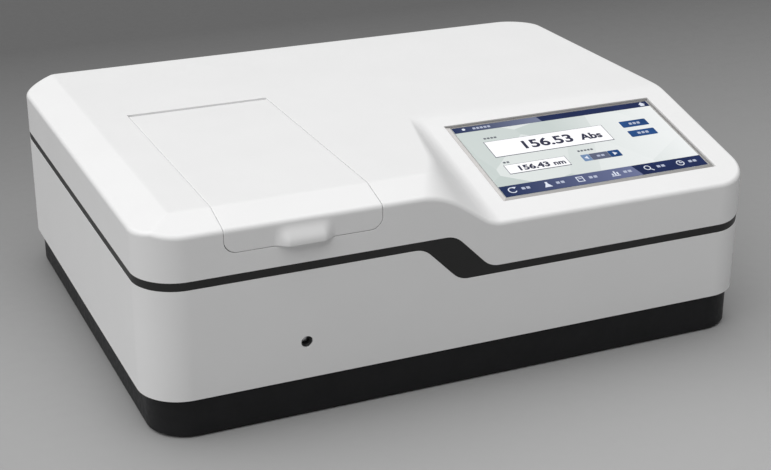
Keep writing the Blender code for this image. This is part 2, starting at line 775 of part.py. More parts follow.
def lamp_house():
    low = (56 * MM, 291 * MM, DECK_Z)
    high = (164 * MM, 401 * MM, 150 * MM)
    house = box("lamp_housing", low, high, aluminium())
    skin = 2 * MM
    cut(house,
        box("lamp_space", (low[0] + skin, low[1] + skin, low[2] + skin),
            (high[0] - skin, high[1] - skin, high[2] + skin)),
        rod("lamp_window", (high[0], SLIT_IN_Y, BEAM_Z), 9 * MM, 20 * MM, "x", sides=20))
    for k in range(5):
        x = low[0] + (20 + 16 * k) * MM
        cut(house, box("lamp_vent_%d" % k, (x, high[1] - 10 * MM, 60 * MM),
                       (x + 7 * MM, high[1] + 10 * MM, 120 * MM)))
    floor = DECK_Z + skin + GAP
    for name, y, radius, look_base in (("tungsten_lamp", 377 * MM, 6 * MM, steel()),
                                       ("deuterium_lamp", 313 * MM, 13 * MM, steel())):
        x = 128 * MM
        base = rod(name + "_base", (x, y, floor + 14 * MM), radius + 3 * MM, 28 * MM, "z",
                   look_base, 20)
        bulb = rod(name + "_bulb", (x, y, floor + 50 * MM), radius, 60 * MM, "z", glass(), 20)
        seat = bulb.modifiers.new("round_ends", "BEVEL")
        seat.width = radius * 0.6
        seat.segments = 3
        cut(base, rod(name + "_seat", (x, y, floor + 26 * MM), radius + GAP, 12.6 * MM, "z", sides=20))


def lamp_mirror():
    x, y = MIRROR_AT
    floor = DECK_Z + 2 * MM + GAP
    stand("mirror_motor", x, y, 14 * MM, floor, floor + 26 * MM, black_anodised())
    pivot = joint_empty("mirror_pivot", x, y, BEAM_Z)
    mount = rod("mirror_mount", (x, y, floor + 31 * MM), 8 * MM, 8 * MM, "z", aluminium(), 20)
    join(mount, box("mirror_back", (x - 5 * MM, y - 15 * MM, floor + 33 * MM),
                    (x - 1 * MM, y + 15 * MM, floor + 68 * MM)))
    glass_face = box("lamp_mirror", (x - 1 * MM + GAP, y - 14 * MM, floor + 36 * MM),
                     (x + 3 * MM, y + 14 * MM, floor + 67 * MM), mirror_coat())
    child_of(pivot, mount, glass_face)


def filter_wheel():
    y = SLIT_IN_Y + WHEEL_OFFSET
    x = 206 * MM
    motor = rod("filter_motor", (x - 22 * MM, y, BEAM_Z), 9 * MM, 34 * MM, "x", steel(), 20)
    join(motor, box("motor_foot", (x - 34 * MM, y - 5 * MM, DECK_Z),
                    (x - 10 * MM, y + 5 * MM, BEAM_Z - 4 * MM)))
    pivot = joint_empty("wheel_axle", x, y, BEAM_Z)
    wheel = rod("filter_wheel", (x, y, BEAM_Z), WHEEL_R, 3 * MM, "x", black_anodised(), 32)
    count = 6
    for k in range(count):
        angle = 2 * math.pi * k / count + math.pi / 2
        spot = (x, y + WHEEL_OFFSET * math.sin(angle) * -1, BEAM_Z + WHEEL_OFFSET * math.cos(angle))
        cut(wheel, rod("filter_seat_%d" % k, spot, 5 * MM, 20 * MM, "x", sides=16))
    child_of(pivot, wheel)


# ------------------------------------------------------------------ monochromator
def slit_plate(name, y):
    plate = box(name, (MONO_X[0] - 2 * MM - GAP, y - 12 * MM, BEAM_Z - 14 * MM),
                (MONO_X[0] - GAP, y + 12 * MM, BEAM_Z + 14 * MM), black_anodised())
    return cut(plate, box(name + "_gap", (0, y - 0.6 * MM, BEAM_Z - 6 * MM),
                          (WIDTH, y + 0.6 * MM, BEAM_Z + 6 * MM)))


def curved_mirror(name, x, y, turn):
    """A round mirror in its holder, facing the grating; its dished face is turned."""
    made = rod(name, (x, y, BEAM_Z), 24 * MM, 9 * MM, "x", mirror_coat(), 28)
    dish_r = 180 * MM
    bm = bmesh.new()
    bmesh.ops.create_uvsphere(bm, u_segments=48, v_segments=48, radius=dish_r)
    made.rotation_euler = (0, 0, turn)
    dish = add_object(name + "_dish", finish_mesh(bm))
    away = Vector((-(dish_r + 2.4 * MM), 0, 0))
    away.rotate(Euler((0, 0, turn)))
    dish.location = at(x, y, BEAM_Z) + away
    return cut(made, dish)


def monochromator():
    wall = 4 * MM
    low = (MONO_X[0], MONO_Y[0], DECK_Z)
    high = (MONO_X[1], MONO_Y[1], MONO_TOP)
    base = box("monochromator_base", low, high, aluminium())
    cut(base, box("mono_space", (low[0] + wall, low[1] + wall, low[2] + 8 * MM),
                  (high[0] - wall, high[1] - wall, high[2] + wall)))
    for name, y in (("mono_entry", SLIT_IN_Y), ("mono_exit", BEAM_Y)):
        cut(base, rod(name, (MONO_X[0], y, BEAM_Z), 6 * MM, 20 * MM, "x", sides=16))
    box("monochromator_cover", (low[0], low[1], MONO_TOP + GAP),
        (high[0], high[1], MONO_TOP + 3 * MM), black_anodised(), 1 * MM, 1)
    slit_plate("entrance_slit", SLIT_IN_Y)
    slit_plate("exit_slit", BEAM_Y)
    curved_mirror("collimating_mirror", 396 * MM, 298 * MM, math.radians(3))
    curved_mirror("focusing_mirror", 396 * MM, 196 * MM, math.radians(-3))
    grating_drive(low[2] + 8 * MM + GAP)


def grating_drive(floor):
    x, y = GRATING_AT
    stand("grating_motor", x, y, 17 * MM, floor, floor + 24 * MM, black_anodised())
    pivot = joint_empty("grating_pivot", x, y, BEAM_Z)
    table = rod("grating_table", (x, y, floor + 27 * MM), 15 * MM, 5 * MM, "z", aluminium(), 24)
    join(table, box("grating_back", (x - 9 * MM, y - 15 * MM, floor + 28 * MM),
                    (x - 5 * MM, y + 15 * MM, floor + 62 * MM)))
    blank = box("grating", (x - 5 * MM + GAP, y - 14 * MM, floor + 30 * MM),
                (x + 1 * MM, y + 14 * MM, floor + 60 * MM), mirror_coat(), 0.6 * MM, 1)
    child_of(pivot, table, blank)


def beam_lens():
    x = (PIT_X[1] + 3.5 * MM + MONO_X[0] - 2 * MM) / 2
    mount = rod("lens_mount", (x, BEAM_Y, BEAM_Z), 13 * MM, 12 * MM, "x", black_anodised(), 24)
    join(mount, box("lens_foot", (x - 4 * MM, BEAM_Y - 9 * MM, DECK_Z),
                    (x + 4 * MM, BEAM_Y + 9 * MM, BEAM_Z - 10 * MM)))
    cut(mount, rod("lens_bore", (x, BEAM_Y, BEAM_Z), 9 * MM, 40 * MM, "x"))
    lens = rod("beam_lens", (x, BEAM_Y, BEAM_Z), 9 * MM - GAP, 5 * MM, "x", glass(), 24)
    rim = lens.modifiers.new("lens_rim", "BEVEL")
    rim.width = 1.4 * MM
    rim.segments = 2


def detector():
    low = (22 * MM, 128 * MM, 76 * MM)
    high = (70 * MM, 172 * MM, 124 * MM)
    house = box("detector_housing", low, high, black_anodised(), 1.5 * MM, 1)
    join(house, box("detector_foot", (30 * MM, 134 * MM, DECK_Z), (60 * MM, 166 * MM, 80 * MM)))
    cut(house, rod("detector_bore", (high[0], BEAM_Y, BEAM_Z), 9 * MM, 36 * MM, "x"))
    cell = rod("photodiode", (56 * MM, BEAM_Y, BEAM_Z), 8 * MM, 6 * MM, "x", glass(), 20)
    board = box("preamp_board", (low[0] - 3.5 * MM, low[1] - 4 * MM, 70 * MM),
                (low[0] - 2 * MM, high[1] + 4 * MM, 128 * MM), board_green())
    join(board, box("preamp_can", (low[0] - 11 * MM, 136 * MM, 84 * MM),
                    (low[0] - 3 * MM, 164 * MM, 112 * MM)))
    return cell


# ------------------------------------------------------------------ electronics
def board_with_parts(name, low, high, parts):
    """A circuit board and the tall components on it, fused as soldered. Parts give x, y, size."""
    board = box(name, low, high, board_green())
    for k, (x, y, wide, deep, tall) in enumerate(parts):
        join(board, box("%s_part_%d" % (name, k), (x, y, high[2] - 0.4 * MM),
                        (x + wide, y + deep, high[2] + tall)))
    return board


def boards():
    z = BOARD_Z
    parts = [(440 * MM, 40 * MM, 26 * MM, 26 * MM, 2.5 * MM),
             (480 * MM, 46 * MM, 18 * MM, 12 * MM, 2 * MM),
             (520 * MM, 40 * MM, 14 * MM, 60 * MM, 9 * MM),
             (445 * MM, 120 * MM, 20 * MM, 20 * MM, 12 * MM),
             (480 * MM, 120 * MM, 30 * MM, 18 * MM, 3 * MM),
             (445 * MM, 200 * MM, 70 * MM, 9 * MM, 11 * MM),
             (540 * MM, 160 * MM, 16 * MM, 40 * MM, 10 * MM)]
    board_with_parts("main_board", (MAIN_BOARD_X[0], MAIN_BOARD_Y[0], z),
                     (MAIN_BOARD_X[1], MAIN_BOARD_Y[1], z + 1.6 * MM), parts)
    supply = [(462 * MM, 300 * MM, 44 * MM, 40 * MM, 34 * MM),
              (520 * MM, 296 * MM, 18 * MM, 18 * MM, 30 * MM),
              (544 * MM, 296 * MM, 18 * MM, 18 * MM, 30 * MM),
              (516 * MM, 330 * MM, 50 * MM, 8 * MM, 36 * MM),
              (462 * MM, 352 * MM, 26 * MM, 26 * MM, 22 * MM)]
    board_with_parts("power_supply", (454 * MM, 286 * MM, z), (574 * MM, 392 * MM, z + 1.6 * MM),
                     supply)
    rack = box("supply_bracket", (452 * MM, 284 * MM, DECK_Z), (576 * MM, 394 * MM, z - GAP), aluminium())
    cut(rack, box("bracket_hollow", (460 * MM, 280 * MM, 0), (568 * MM, 400 * MM, z - 2 * MM)))


# ------------------------------------------------------------------ rear panel
def rear_panel():
    panel = box("rear_panel", (PANEL_X[0], PANEL_FACE - 2 * MM, PANEL_Z[0]),
                (PANEL_X[1], PANEL_FACE, PANEL_Z[1]), aluminium())
    y0, y1 = PANEL_FACE - 10 * MM, PANEL_FACE + 10 * MM
    cut(panel, rod("fan_opening", (FAN_AT[0], PANEL_FACE, FAN_AT[1]), 27 * MM, 20 * MM, "y", sides=28))
    for name, spot, wide, tall in (("inlet_hole", INLET_AT, 28 * MM, 21 * MM),
                                   ("switch_hole", SWITCH_AT, 20 * MM, 27 * MM),
                                   ("usb_hole", USB_AT, 13 * MM, 12 * MM),
                                   ("serial_hole", SERIAL_AT, 20 * MM, 11 * MM)):
        cut(panel, box(name, (spot[0] - wide / 2, y0, spot[1] - tall / 2),
                       (spot[0] + wide / 2, y1, spot[1] + tall / 2)))
    for k in range(8):
        x = (190 + 14 * k) * MM
        cut(panel, box("rear_slot_%d" % k, (x, y0, 60 * MM), (x + 5 * MM, y1, 112 * MM)))
    return panel


def socket_block(name, spot, wide, tall, deep, flange, well, look):
    """A socket through the panel: a body behind, a flange in front, and an open well."""
    block = box(name, (spot[0] - wide / 2, PANEL_FACE - deep, spot[1] - tall / 2),
                (spot[0] + wide / 2, PANEL_FACE + 1 * MM, spot[1] + tall / 2), look)
    join(block, box(name + "_flange", (spot[0] - wide / 2 - flange, PANEL_FACE + GAP,
                                       spot[1] - tall / 2 - flange),
                    (spot[0] + wide / 2 + flange, PANEL_FACE + 2.6 * MM,
                     spot[1] + tall / 2 + flange)))
    cut(block, box(name + "_well", (spot[0] - well[0] / 2, PANEL_FACE - well[2], spot[1] - well[1] / 2),
                   (spot[0] + well[0] / 2, PANEL_FACE + 20 * MM, spot[1] + well[1] / 2)))
    return block


def connectors():
    inlet = socket_block("power_inlet", INLET_AT, 27 * MM, 20 * MM, 22 * MM, 3 * MM,
                         (24 * MM, 16.5 * MM, 17 * MM), inner_black())
    for k, (dx, dz) in enumerate(((-7, -2), (7, -2), (0, 3))):
        x, z = INLET_AT[0] + dx * MM, INLET_AT[1] + dz * MM
        join(inlet, box("inlet_blade_%d" % k, (x - 1 * MM, PANEL_FACE - 18 * MM, z - 2.5 * MM),
                        (x + 1 * MM, PANEL_FACE - 4 * MM, z + 2.5 * MM)))
    usb = socket_block("usb_port", USB_AT, 12 * MM, 11 * MM, 16 * MM, 0.9 * MM,
                       (8.6 * MM, 7.8 * MM, 12 * MM), steel())
    join(usb, box("usb_tongue", (USB_AT[0] - 2.8 * MM, PANEL_FACE - 13 * MM, USB_AT[1] - 1.6 * MM),
                  (USB_AT[0] + 2.8 * MM, PANEL_FACE - 2 * MM, USB_AT[1] + 1.6 * MM)))
    serial = socket_block("serial_port", SERIAL_AT, 18.6 * MM, 10 * MM, 12 * MM, 2.5 * MM,
                          (16.6 * MM, 8 * MM, 6 * MM), steel())
    return serial


def power_switch():
    """A rocker with a shallow V face, resting with its lower half pressed in."""
    x, z = SWITCH_AT
    socket_block("switch_housing", SWITCH_AT, 19 * MM, 26 * MM, 20 * MM, 1.2 * MM,
                 (15 * MM, 22 * MM, 12 * MM), inner_black())
    y = PANEL_FACE - 4 * MM
    pivot = joint_empty("rocker_pivot", x, y, z)
    key = rod("switch_rocker", (x, y, z), 4 * MM, 14 * MM, "x", inner_black(), 20)
    for side in (1, -1):
        half = box_mesh(Vector((13.9 * MM, 3.2 * MM, 11 * MM)), 0.6 * MM)
        place = at(x, y + 2.4 * MM, z + side * 5 * MM)
        join(key, add_object("rocker_half", half, None, place, (math.radians(-10 * side), 0, 0)))
    child_of(pivot, key, *[step.object for step in key.modifiers])
    pivot.rotation_euler = (math.radians(-ROCKER_THROW / 2), 0, 0)


def fan():
    x, z = FAN_AT
    half = FAN_SIZE / 2
    back = PANEL_FACE - 2 * MM - GAP
    depth = 20 * MM
    frame = box("fan_frame", (x - half, back - depth, z - half), (x + half, back, z + half),
                inner_black(), 1.5 * MM, 1)
    cut(frame, rod("fan_duct", (x, back - depth / 2, z), 27.5 * MM, 60 * MM, "y", sides=32))
    spokes = rod("fan_hub_plate", (x, back - depth + 2 * MM, z), 14 * MM, 4 * MM, "y", sides=24)
    join(frame, spokes)
    for k in range(3):
        arm = box_mesh(Vector((4 * MM, 4 * MM, 29 * MM)))
        angle = math.radians(120 * k + 60)
        spot = at(x + 14.4 * MM * math.sin(angle), back - depth + 2 * MM, z + 14.4 * MM * math.cos(angle))
        join(frame, add_object("fan_spoke_%d" % k, arm, None, spot, (0, angle, 0)))
    axle = joint_empty("fan_axle", x, back - depth / 2, z)
    rotor = rod("fan_rotor", (x, back - depth / 2 + 3 * MM, z), 12 * MM, 11 * MM, "y", inner_black(), 24)
    for k in range(7):
        angle = 2 * math.pi * k / 7
        blade = box_mesh(Vector((1.2 * MM, 11 * MM, 15.5 * MM)))
        turn = Matrix.Rotation(angle, 3, "Y") @ Matrix.Rotation(math.radians(38), 3, "Z")
        spot = at(x + 18.6 * MM * math.sin(angle), back - depth / 2 + 3 * MM,
                  z + 18.6 * MM * math.cos(angle))
        join(rotor, add_object("fan_blade_%d" % k, blade, None, spot, turn.to_euler()))
    child_of(axle, rotor)
    guard()


def guard():
    """Three wire rings and a cross, fused into one finger guard outside the panel."""
    x, z = FAN_AT
    y = PANEL_FACE + GAP + 1.1 * MM
    wire = 1 * MM
    rail = box("fan_guard", (x - 29 * MM, y - wire, z - 0.9 * MM), (x + 29 * MM, y + wire, z + 0.9 * MM),
               steel())
    join(rail, box("guard_upright", (x - 0.9 * MM, y - 0.9 * wire, z - 29 * MM),
                   (x + 0.9 * MM, y + 0.9 * wire, z + 29 * MM)))
    for k, radius in enumerate((10 * MM, 18 * MM, 26 * MM)):
        hoop = rod("guard_ring_%d" % k, (x, y, z), radius + wire, 1.7 * MM, "y", sides=32)
        join(rail, cut(hoop, rod("guard_gap_%d" % k, (x, y, z), radius - wire, 20 * MM, "y", sides=32)))


def build():
    base_plinth()
    feet()
    chassis_plate()
    lower_shell()
    seam_trim()
    upper_shell()
    rod_bush()
    pivot = joint_empty("lid_hinge", LID_MIDDLE, LID_AXIS_Y, LID_AXIS_Z)
    child_of(pivot, sample_lid())
    hinge()
    sample_chamber()
    lid_seal()
    guide_rails()
    cell_changer()
    screen_stack()
    lamp_house()
    lamp_mirror()
    filter_wheel()
    monochromator()
    beam_lens()
    detector()
    boards()
    rear_panel()
    connectors()
    power_switch()
    fan()


build()
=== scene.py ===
"""The looks of a benchtop UV-visible spectrophotometer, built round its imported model.

Metres, +Z up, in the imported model's frame. Places are given in bench coordinates: x from the left
wall, y from the front wall backwards, z up from the table. at() turns them into the frame.
"""

import math

import bmesh
import bpy
from mathutils import Matrix, Vector


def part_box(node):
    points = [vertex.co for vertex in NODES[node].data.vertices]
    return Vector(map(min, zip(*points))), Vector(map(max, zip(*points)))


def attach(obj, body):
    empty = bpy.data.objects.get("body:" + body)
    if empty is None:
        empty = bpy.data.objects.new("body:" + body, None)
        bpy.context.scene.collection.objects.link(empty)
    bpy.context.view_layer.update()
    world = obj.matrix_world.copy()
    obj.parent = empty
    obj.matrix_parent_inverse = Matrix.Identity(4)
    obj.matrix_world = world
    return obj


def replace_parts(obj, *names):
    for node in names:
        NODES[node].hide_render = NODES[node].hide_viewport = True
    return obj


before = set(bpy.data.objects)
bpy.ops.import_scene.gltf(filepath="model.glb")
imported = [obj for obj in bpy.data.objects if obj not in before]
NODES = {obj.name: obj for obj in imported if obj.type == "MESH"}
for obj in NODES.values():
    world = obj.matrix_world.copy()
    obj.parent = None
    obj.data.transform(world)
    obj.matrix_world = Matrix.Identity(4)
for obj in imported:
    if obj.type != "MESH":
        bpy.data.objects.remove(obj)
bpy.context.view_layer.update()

MM = 0.001
GAP = 0.3 * MM
SHELL_LOW, SHELL_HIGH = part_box("upper_shell")
LOWER_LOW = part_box("lower_shell")[0]
PLINTH_LOW, PLINTH_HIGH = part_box("base_plinth")
LID_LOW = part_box("sample_lid")[0]

# ------------------ casing, as in the model's design
WIDTH = SHELL_HIGH.x - SHELL_LOW.x
DEPTH = SHELL_HIGH.y - SHELL_LOW.y
PLATEAU = SHELL_HIGH.z
SHELL_BOTTOM = LOWER_LOW.z
CORNER = 39 * MM
WALL = 3 * MM
EDGE_TOP = 183.5 * MM
CHAMFER = 33 * MM
CHAMFER_SOFTNESS = 0.25 * MM
FRONT_ROUND = 3.5 * MM
REAR_ROUND = 8 * MM
REAR_ROUND_FROM, REAR_ROUND_OVER = 0.92, 0.08
RIM_ROUND = 0.2 * MM
LOWER_TOP = 136.3 * MM
UPPER_BOTTOM = 143.9 * MM
STEP = 34.5 * MM
STEP_END_SOFTNESS = 2 * MM
LOWER_STEP_X = (239.4 * MM, 290.5 * MM)
UPPER_STEP_X = (268.5 * MM, 320.6 * MM)
TRIM_FACE = 0.25 * MM
TRIM_LAP_DEPTH = (3.4 * MM, 5.9 * MM)
TRIM_LAP = 5 * MM

LIP = 149.6 * MM
CONSOLE_BACK = 168.5 * MM
CONSOLE_SLOPE = (PLATEAU - LIP) / CONSOLE_BACK
TILT = math.atan(CONSOLE_SLOPE)
CREASE_SOFTNESS = 1.5 * MM
CREASE_FADE = 20 * MM
FLANK_KNEE = (281 * MM, 65 * MM)
FLANK_FAN = 0.28
FLANK_FRONT_FAN = 0.29
FLANK_KNEE_SOFTNESS = 8 * MM
FLANK_STEEP = (286 * MM, 35 * MM)
FLANK_STEEP_FAN = 0.19
FLANK_FOOT_X = (302 * MM, 323 * MM)

SCREEN_X = (338 * MM, 563 * MM)
SCREEN_Y = (28 * MM, 151 * MM)
SCREEN_HIGH = (SCREEN_Y[1] - SCREEN_Y[0]) / math.cos(TILT)

LID_X = (69 * MM, 209 * MM)
LID_MIDDLE = 139 * MM
LID_GAP = 0.4 * MM
LID_REAR_GAP = 1.0 * MM
LID_END_ROUND = 0.6 * MM
LID_EDGE_ROUND = 6.2 * MM
LID_AXIS_Y = 282 * MM
LID_AXIS_Z = PLATEAU - LID_EDGE_ROUND
FLAP_BOTTOM = 162.4 * MM
FLAP_CORNER = 11 * MM
GRIP_WIDTH = 55 * MM
GRIP_OUT = SHELL_LOW.y - LID_LOW.y
GRIP_TOP = 181 * MM
GRIP_FULL = 165 * MM
GRIP_SHOULDER = 13 * MM

ROD_Z = 70.3 * MM
ROD_HOLE_R = 5.3 * MM
BUSH_BORE_R = 3.4 * MM
BUSH_BACK = 12.5 * MM
BUSH_LONG = 11 * MM
PLINTH_CORNER = CORNER - 3 * MM
PLINTH_WALL = 3.5 * MM
PLINTH_FLOOR = 4 * MM
SEAT_SLACK = 0.6 * MM
SEAT_CUT = 4 * MM
REAR_WINDOW_LIP = (6 * MM, 5 * MM)
REAR_WINDOW_CORNER = 4 * MM
PANEL_LOW, PANEL_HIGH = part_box("rear_panel")
PANEL_FACE = DEPTH - WALL - GAP

# How closely meshes are welded and flattened, and from what angle an edge counts as hard.
WELD = 0.002 * MM
FLAT_ANGLE = 0.15
HARD_ANGLE = 35.0

# ------------------ camera, light and table top
CAMERA_AT = (-0.57459, -1.33492, 0.66585)
CAMERA_YAW = 23.849
CAMERA_PITCH = 22.783
CAMERA_ROLL = 0.122
CAMERA_LENS = 73.07
KEY_FROM = Vector((-0.33, 0.03, 1.0))
KEY_STRENGTH = 3.26
KEY_SPREAD = 100
AMBIENT = 0.137
# Table top colours near and far: the fall to the darker far colour towards the back is painted shade.
FLOOR_NEAR = (0.38, 0.38, 0.38)
FLOOR_FAR_SHADED = (0.09, 0.09, 0.09)
FLOOR_SHADE_Y = (-0.45, 1.0)


def at(x, y, z):
    """Bench coordinates to the model's frame."""
    return Vector((SHELL_LOW.x + x, SHELL_LOW.y + y, z))


# ------------------ finishes
def new_material(name):
    """A new material with its node tree and its shader."""
    made = bpy.data.materials.new(name)
    made.use_nodes = True
    return made, made.node_tree, made.node_tree.nodes["Principled BSDF"]


def texture_place(tree, stretch=(1, 1, 1)):
    """The place on the object, with its axes scaled to draw a noise out."""
    place = tree.nodes.new("ShaderNodeTexCoord")
    scaled = tree.nodes.new("ShaderNodeMapping")
    scaled.inputs["Scale"].default_value = stretch
    tree.links.new(place.outputs["Object"], scaled.inputs["Vector"])
    return scaled.outputs["Vector"]


def noise(tree, place, size, detail=2.0):
    """A noise whose features are about size millimetres across."""
    made = tree.nodes.new("ShaderNodeTexNoise")
    made.inputs["Scale"].default_value = 1 / (size * MM)
    made.inputs["Detail"].default_value = detail
    tree.links.new(place, made.inputs["Vector"])
    return made.outputs["Fac"]


NOISE_SPAN = (0.3, 0.7)


def ranged(tree, value, low, high, source=NOISE_SPAN):
    """A value carried from its source range, by default a noise's, to low and high."""
    made = tree.nodes.new("ShaderNodeMapRange")
    made.inputs["From Min"].default_value, made.inputs["From Max"].default_value = source
    made.inputs["To Min"].default_value = low
    made.inputs["To Max"].default_value = high
    tree.links.new(value, made.inputs["Value"])
    return made.outputs["Result"]


def along(tree, place, axis, start, end):
    """A share that grows from 0 to 1 between two places on an axis of the frame."""
    split = tree.nodes.new("ShaderNodeSeparateXYZ")
    tree.links.new(place, split.inputs["Vector"])
    return ranged(tree, split.outputs[axis], 0, 1, (start, end))


def mixed(tree, share, first, second):
    """A blend of two colours. The first may also be another node's output."""
    made = tree.nodes.new("ShaderNodeMix")
    made.data_type = "RGBA"
    tree.links.new(share, made.inputs["Factor"])
    if isinstance(first, bpy.types.NodeSocket):
        tree.links.new(first, made.inputs["A"])
    else:
        made.inputs["A"].default_value = (*first, 1)
    made.inputs["B"].default_value = (*second, 1)
    return made.outputs["Result"]


def finish(name, colour, roughness, metallic=0.0, grain=0.5, relief=0.004, patch=45.0, drift=0.03,
           uneven=0.05, stretch=(1, 1, 1), coat=0.0, sheen=0.5, glow=0.0):
    """A material with a slow drift of colour, uneven gloss and a fine relief; sizes in mm.

    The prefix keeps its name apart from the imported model's own materials.
    """
    name = "look_" + name
    found = bpy.data.materials.get(name)
    if found:
        return found
    made, tree, shader = new_material(name)
    place = texture_place(tree, stretch)
    slow = noise(tree, place, patch)
    fine = noise(tree, place, grain, 4.0)
    darker = [channel * (1 - drift) for channel in colour]
    lighter = [min(channel * (1 + drift), 1.0) for channel in colour]
    tree.links.new(mixed(tree, ranged(tree, slow, 0, 1), darker, lighter), shader.inputs["Base Color"])
    tree.links.new(ranged(tree, noise(tree, place, grain * 6, 3.0), max(roughness - uneven, 0.02),
                          roughness + uneven), shader.inputs["Roughness"])
    bump = tree.nodes.new("ShaderNodeBump")
    bump.inputs["Distance"].default_value = relief * MM
    tree.links.new(fine, bump.inputs["Height"])
    tree.links.new(bump.outputs["Normal"], shader.inputs["Normal"])
    shader.inputs["Metallic"].default_value = metallic
    shader.inputs["Coat Weight"].default_value = coat
    shader.inputs["Coat Roughness"].default_value = 0.08
    shader.inputs["Specular IOR Level"].default_value = sheen
    if glow:
        shader.inputs["Emission Color"].default_value = (*colour, 1)
        shader.inputs["Emission Strength"].default_value = glow
    return made


def white():
    return finish("moulded_white", (0.83, 0.83, 0.83), 0.40, grain=0.6, relief=0.006, patch=60, drift=0.008,
                  uneven=0.04)


def charcoal():
    return finish("band_charcoal", (0.0165, 0.0165, 0.0165), 0.42, grain=0.5, relief=0.01, drift=0.1,
                  sheen=0.35)


def plinth_black():
    return finish("plinth_black", (0.0122, 0.0124, 0.0134), 0.50, grain=0.8, relief=0.03, patch=25,
                  drift=0.12, uneven=0.06, sheen=0.2)


def inner_black():
    return finish("inner_black", (0.016, 0.016, 0.017), 0.62, grain=0.5, relief=0.03, drift=0.15)


def rubber():
    return finish("foot_rubber", (0.022, 0.022, 0.022), 0.82, grain=0.4, relief=0.04, drift=0.2)


def silver():
    return finish("frame_silver", (0.41, 0.40, 0.392), 0.36, 0.75, grain=0.3, relief=0.004, drift=0.02,
                  stretch=(0.1, 1, 1))


def steel():
    return finish("steel", (0.58, 0.58, 0.59), 0.26, 1.0, grain=0.3, relief=0.004, patch=12, drift=0.05,
                  stretch=(1, 0.15, 1))


def nickel():
    return finish("nickel_plate", (0.66, 0.64, 0.61), 0.24, 1.0, grain=0.4, relief=0.003, patch=8, drift=0.05)


def aluminium():
    return finish("brushed_aluminium", (0.62, 0.63, 0.64), 0.38, 0.95, grain=0.35, relief=0.008, patch=30,
                  drift=0.05, stretch=(0.06, 1, 1))


def anodised():
    return finish("black_anodised", (0.022, 0.022, 0.025), 0.42, 0.55, grain=0.4, relief=0.015, drift=0.15)


def gold():
    return finish("contact_gold", (0.78, 0.56, 0.22), 0.25, 1.0, grain=0.3, relief=0.002, patch=6)


def mirror():
    return finish("mirror_coat", (0.90, 0.91, 0.92), 0.04, 1.0, grain=2.0, relief=0.0002, drift=0.01,
                  uneven=0.015)


def board():
    return finish("board_green", (0.015, 0.13, 0.06), 0.40, grain=1.2, relief=0.02, patch=6, drift=0.3,
                  coat=0.4)


def lens_glass():
    return finish("optical_glass", (0.74, 0.84, 0.88), 0.05, grain=4, relief=0.0005, patch=10, drift=0.04,
                  uneven=0.02, coat=1.0)


def shown(name, colour, drift=0.01):
    """A colour on the lit display, under its glass."""
    return finish("shown_" + name, colour, 0.20, grain=0.25, relief=0.0006, patch=30, drift=drift,
                  uneven=0.02, coat=0.15, sheen=0.25, glow=0.12)


# ------------------ mesh helpers
def added(name, data):
    """A new object in the scene."""
    made = bpy.data.objects.new(name, data)
    bpy.context.scene.collection.objects.link(made)
    return made


def evaluated_mesh(piece):
    """The mesh that an object's modifiers or text give."""
    bpy.context.view_layer.update()
    graph = bpy.context.evaluated_depsgraph_get()
    return bpy.data.meshes.new_from_object(piece.evaluated_get(graph))


def link(name, mesh, look=None, body="instrument"):
    """Shows a mesh as a piece that rides on a body, or keeps it as a cutter when it has no look."""
    mesh.name = name
    made = added(name, mesh)
    if look:
        mesh.materials.clear()
        mesh.materials.append(look)
        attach(made, body)
    return made


def to_mesh(bm, smooth_below=HARD_ANGLE):
    """A mesh from a bmesh, shaded smooth across edges below an angle in degrees."""
    bmesh.ops.recalc_face_normals(bm, faces=bm.faces)
    mesh = bpy.data.meshes.new("mesh")
    bm.to_mesh(mesh)
    bm.free()
    mesh.shade_smooth()
    mesh.set_sharp_from_angle(angle=math.radians(smooth_below))
    return mesh


def even_shading(piece):
    """Shades large faces flat, and lets the rounded edges between them turn."""
    step = piece.modifiers.new("even_shading", "WEIGHTED_NORMAL")
    step.keep_sharp = True
    return piece


def rounded(node, width):
    """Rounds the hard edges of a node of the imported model, by a width in mm."""
    step = node.modifiers.new("edge_round", "BEVEL")
    step.width = width * MM
    step.segments = 2
    step.limit_method = "ANGLE"
    step.angle_limit = math.radians(HARD_ANGLE)
    step.harden_normals = True


def loops_mesh(bm, loops, closed=False, caps=False):
    """Skins a run of loops that have the same number of points."""
    rows = [[bm.verts.new(p) for p in loop] for loop in loops]
    pairs = list(zip(rows, rows[1:])) + ([(rows[-1], rows[0])] if closed else [])
    for first, second in pairs:
        count = len(first)
        for k in range(count):
            after = (k + 1) % count
            bm.faces.new((first[k], first[after], second[after], second[k]))
    if caps:
        bm.faces.new(reversed(rows[0]))
        bm.faces.new(rows[-1])


AXES = {"y": Matrix.Rotation(-math.pi / 2, 4, "X"), "z": Matrix.Identity(4)}


def turned(bm, profile, middle, axis="y", sides=48, ring=False):
    """Adds a turned solid. Its profile is (radius, height) along an axis through a bench position.

    Caps close it at both ends, or the profile is a closed outline and makes a ring.
    """
    angles = [2 * math.pi * k / sides for k in range(sides)]
    loops = [[at(*middle) + AXES[axis] @ Vector((radius * math.cos(a), radius * math.sin(a), height))
              for a in angles] for radius, height in profile]
    loops_mesh(bm, loops, closed=ring, caps=not ring)


def block(bm, low, high):
    """Adds a block between two opposite corners in bench coordinates."""
    made = bmesh.ops.create_cube(bm, size=1.0)["verts"]
    size = Vector([b - a for a, b in zip(low, high)])
    bmesh.ops.scale(bm, vec=size, verts=made)
    bmesh.ops.translate(bm, vec=at(*[(a + b) / 2 for a, b in zip(low, high)]), verts=made)


def outline_prism(bm, outline, start, run):
    """Adds a prism: an outline of frame points moved by start, and swept by the vector run."""
    face = bm.faces.new([bm.verts.new(p + start) for p in outline])
    grown = bmesh.ops.extrude_face_region(bm, geom=[face])
    moved = [v for v in grown["geom"] if isinstance(v, bmesh.types.BMVert)]
    bmesh.ops.translate(bm, vec=run, verts=moved)


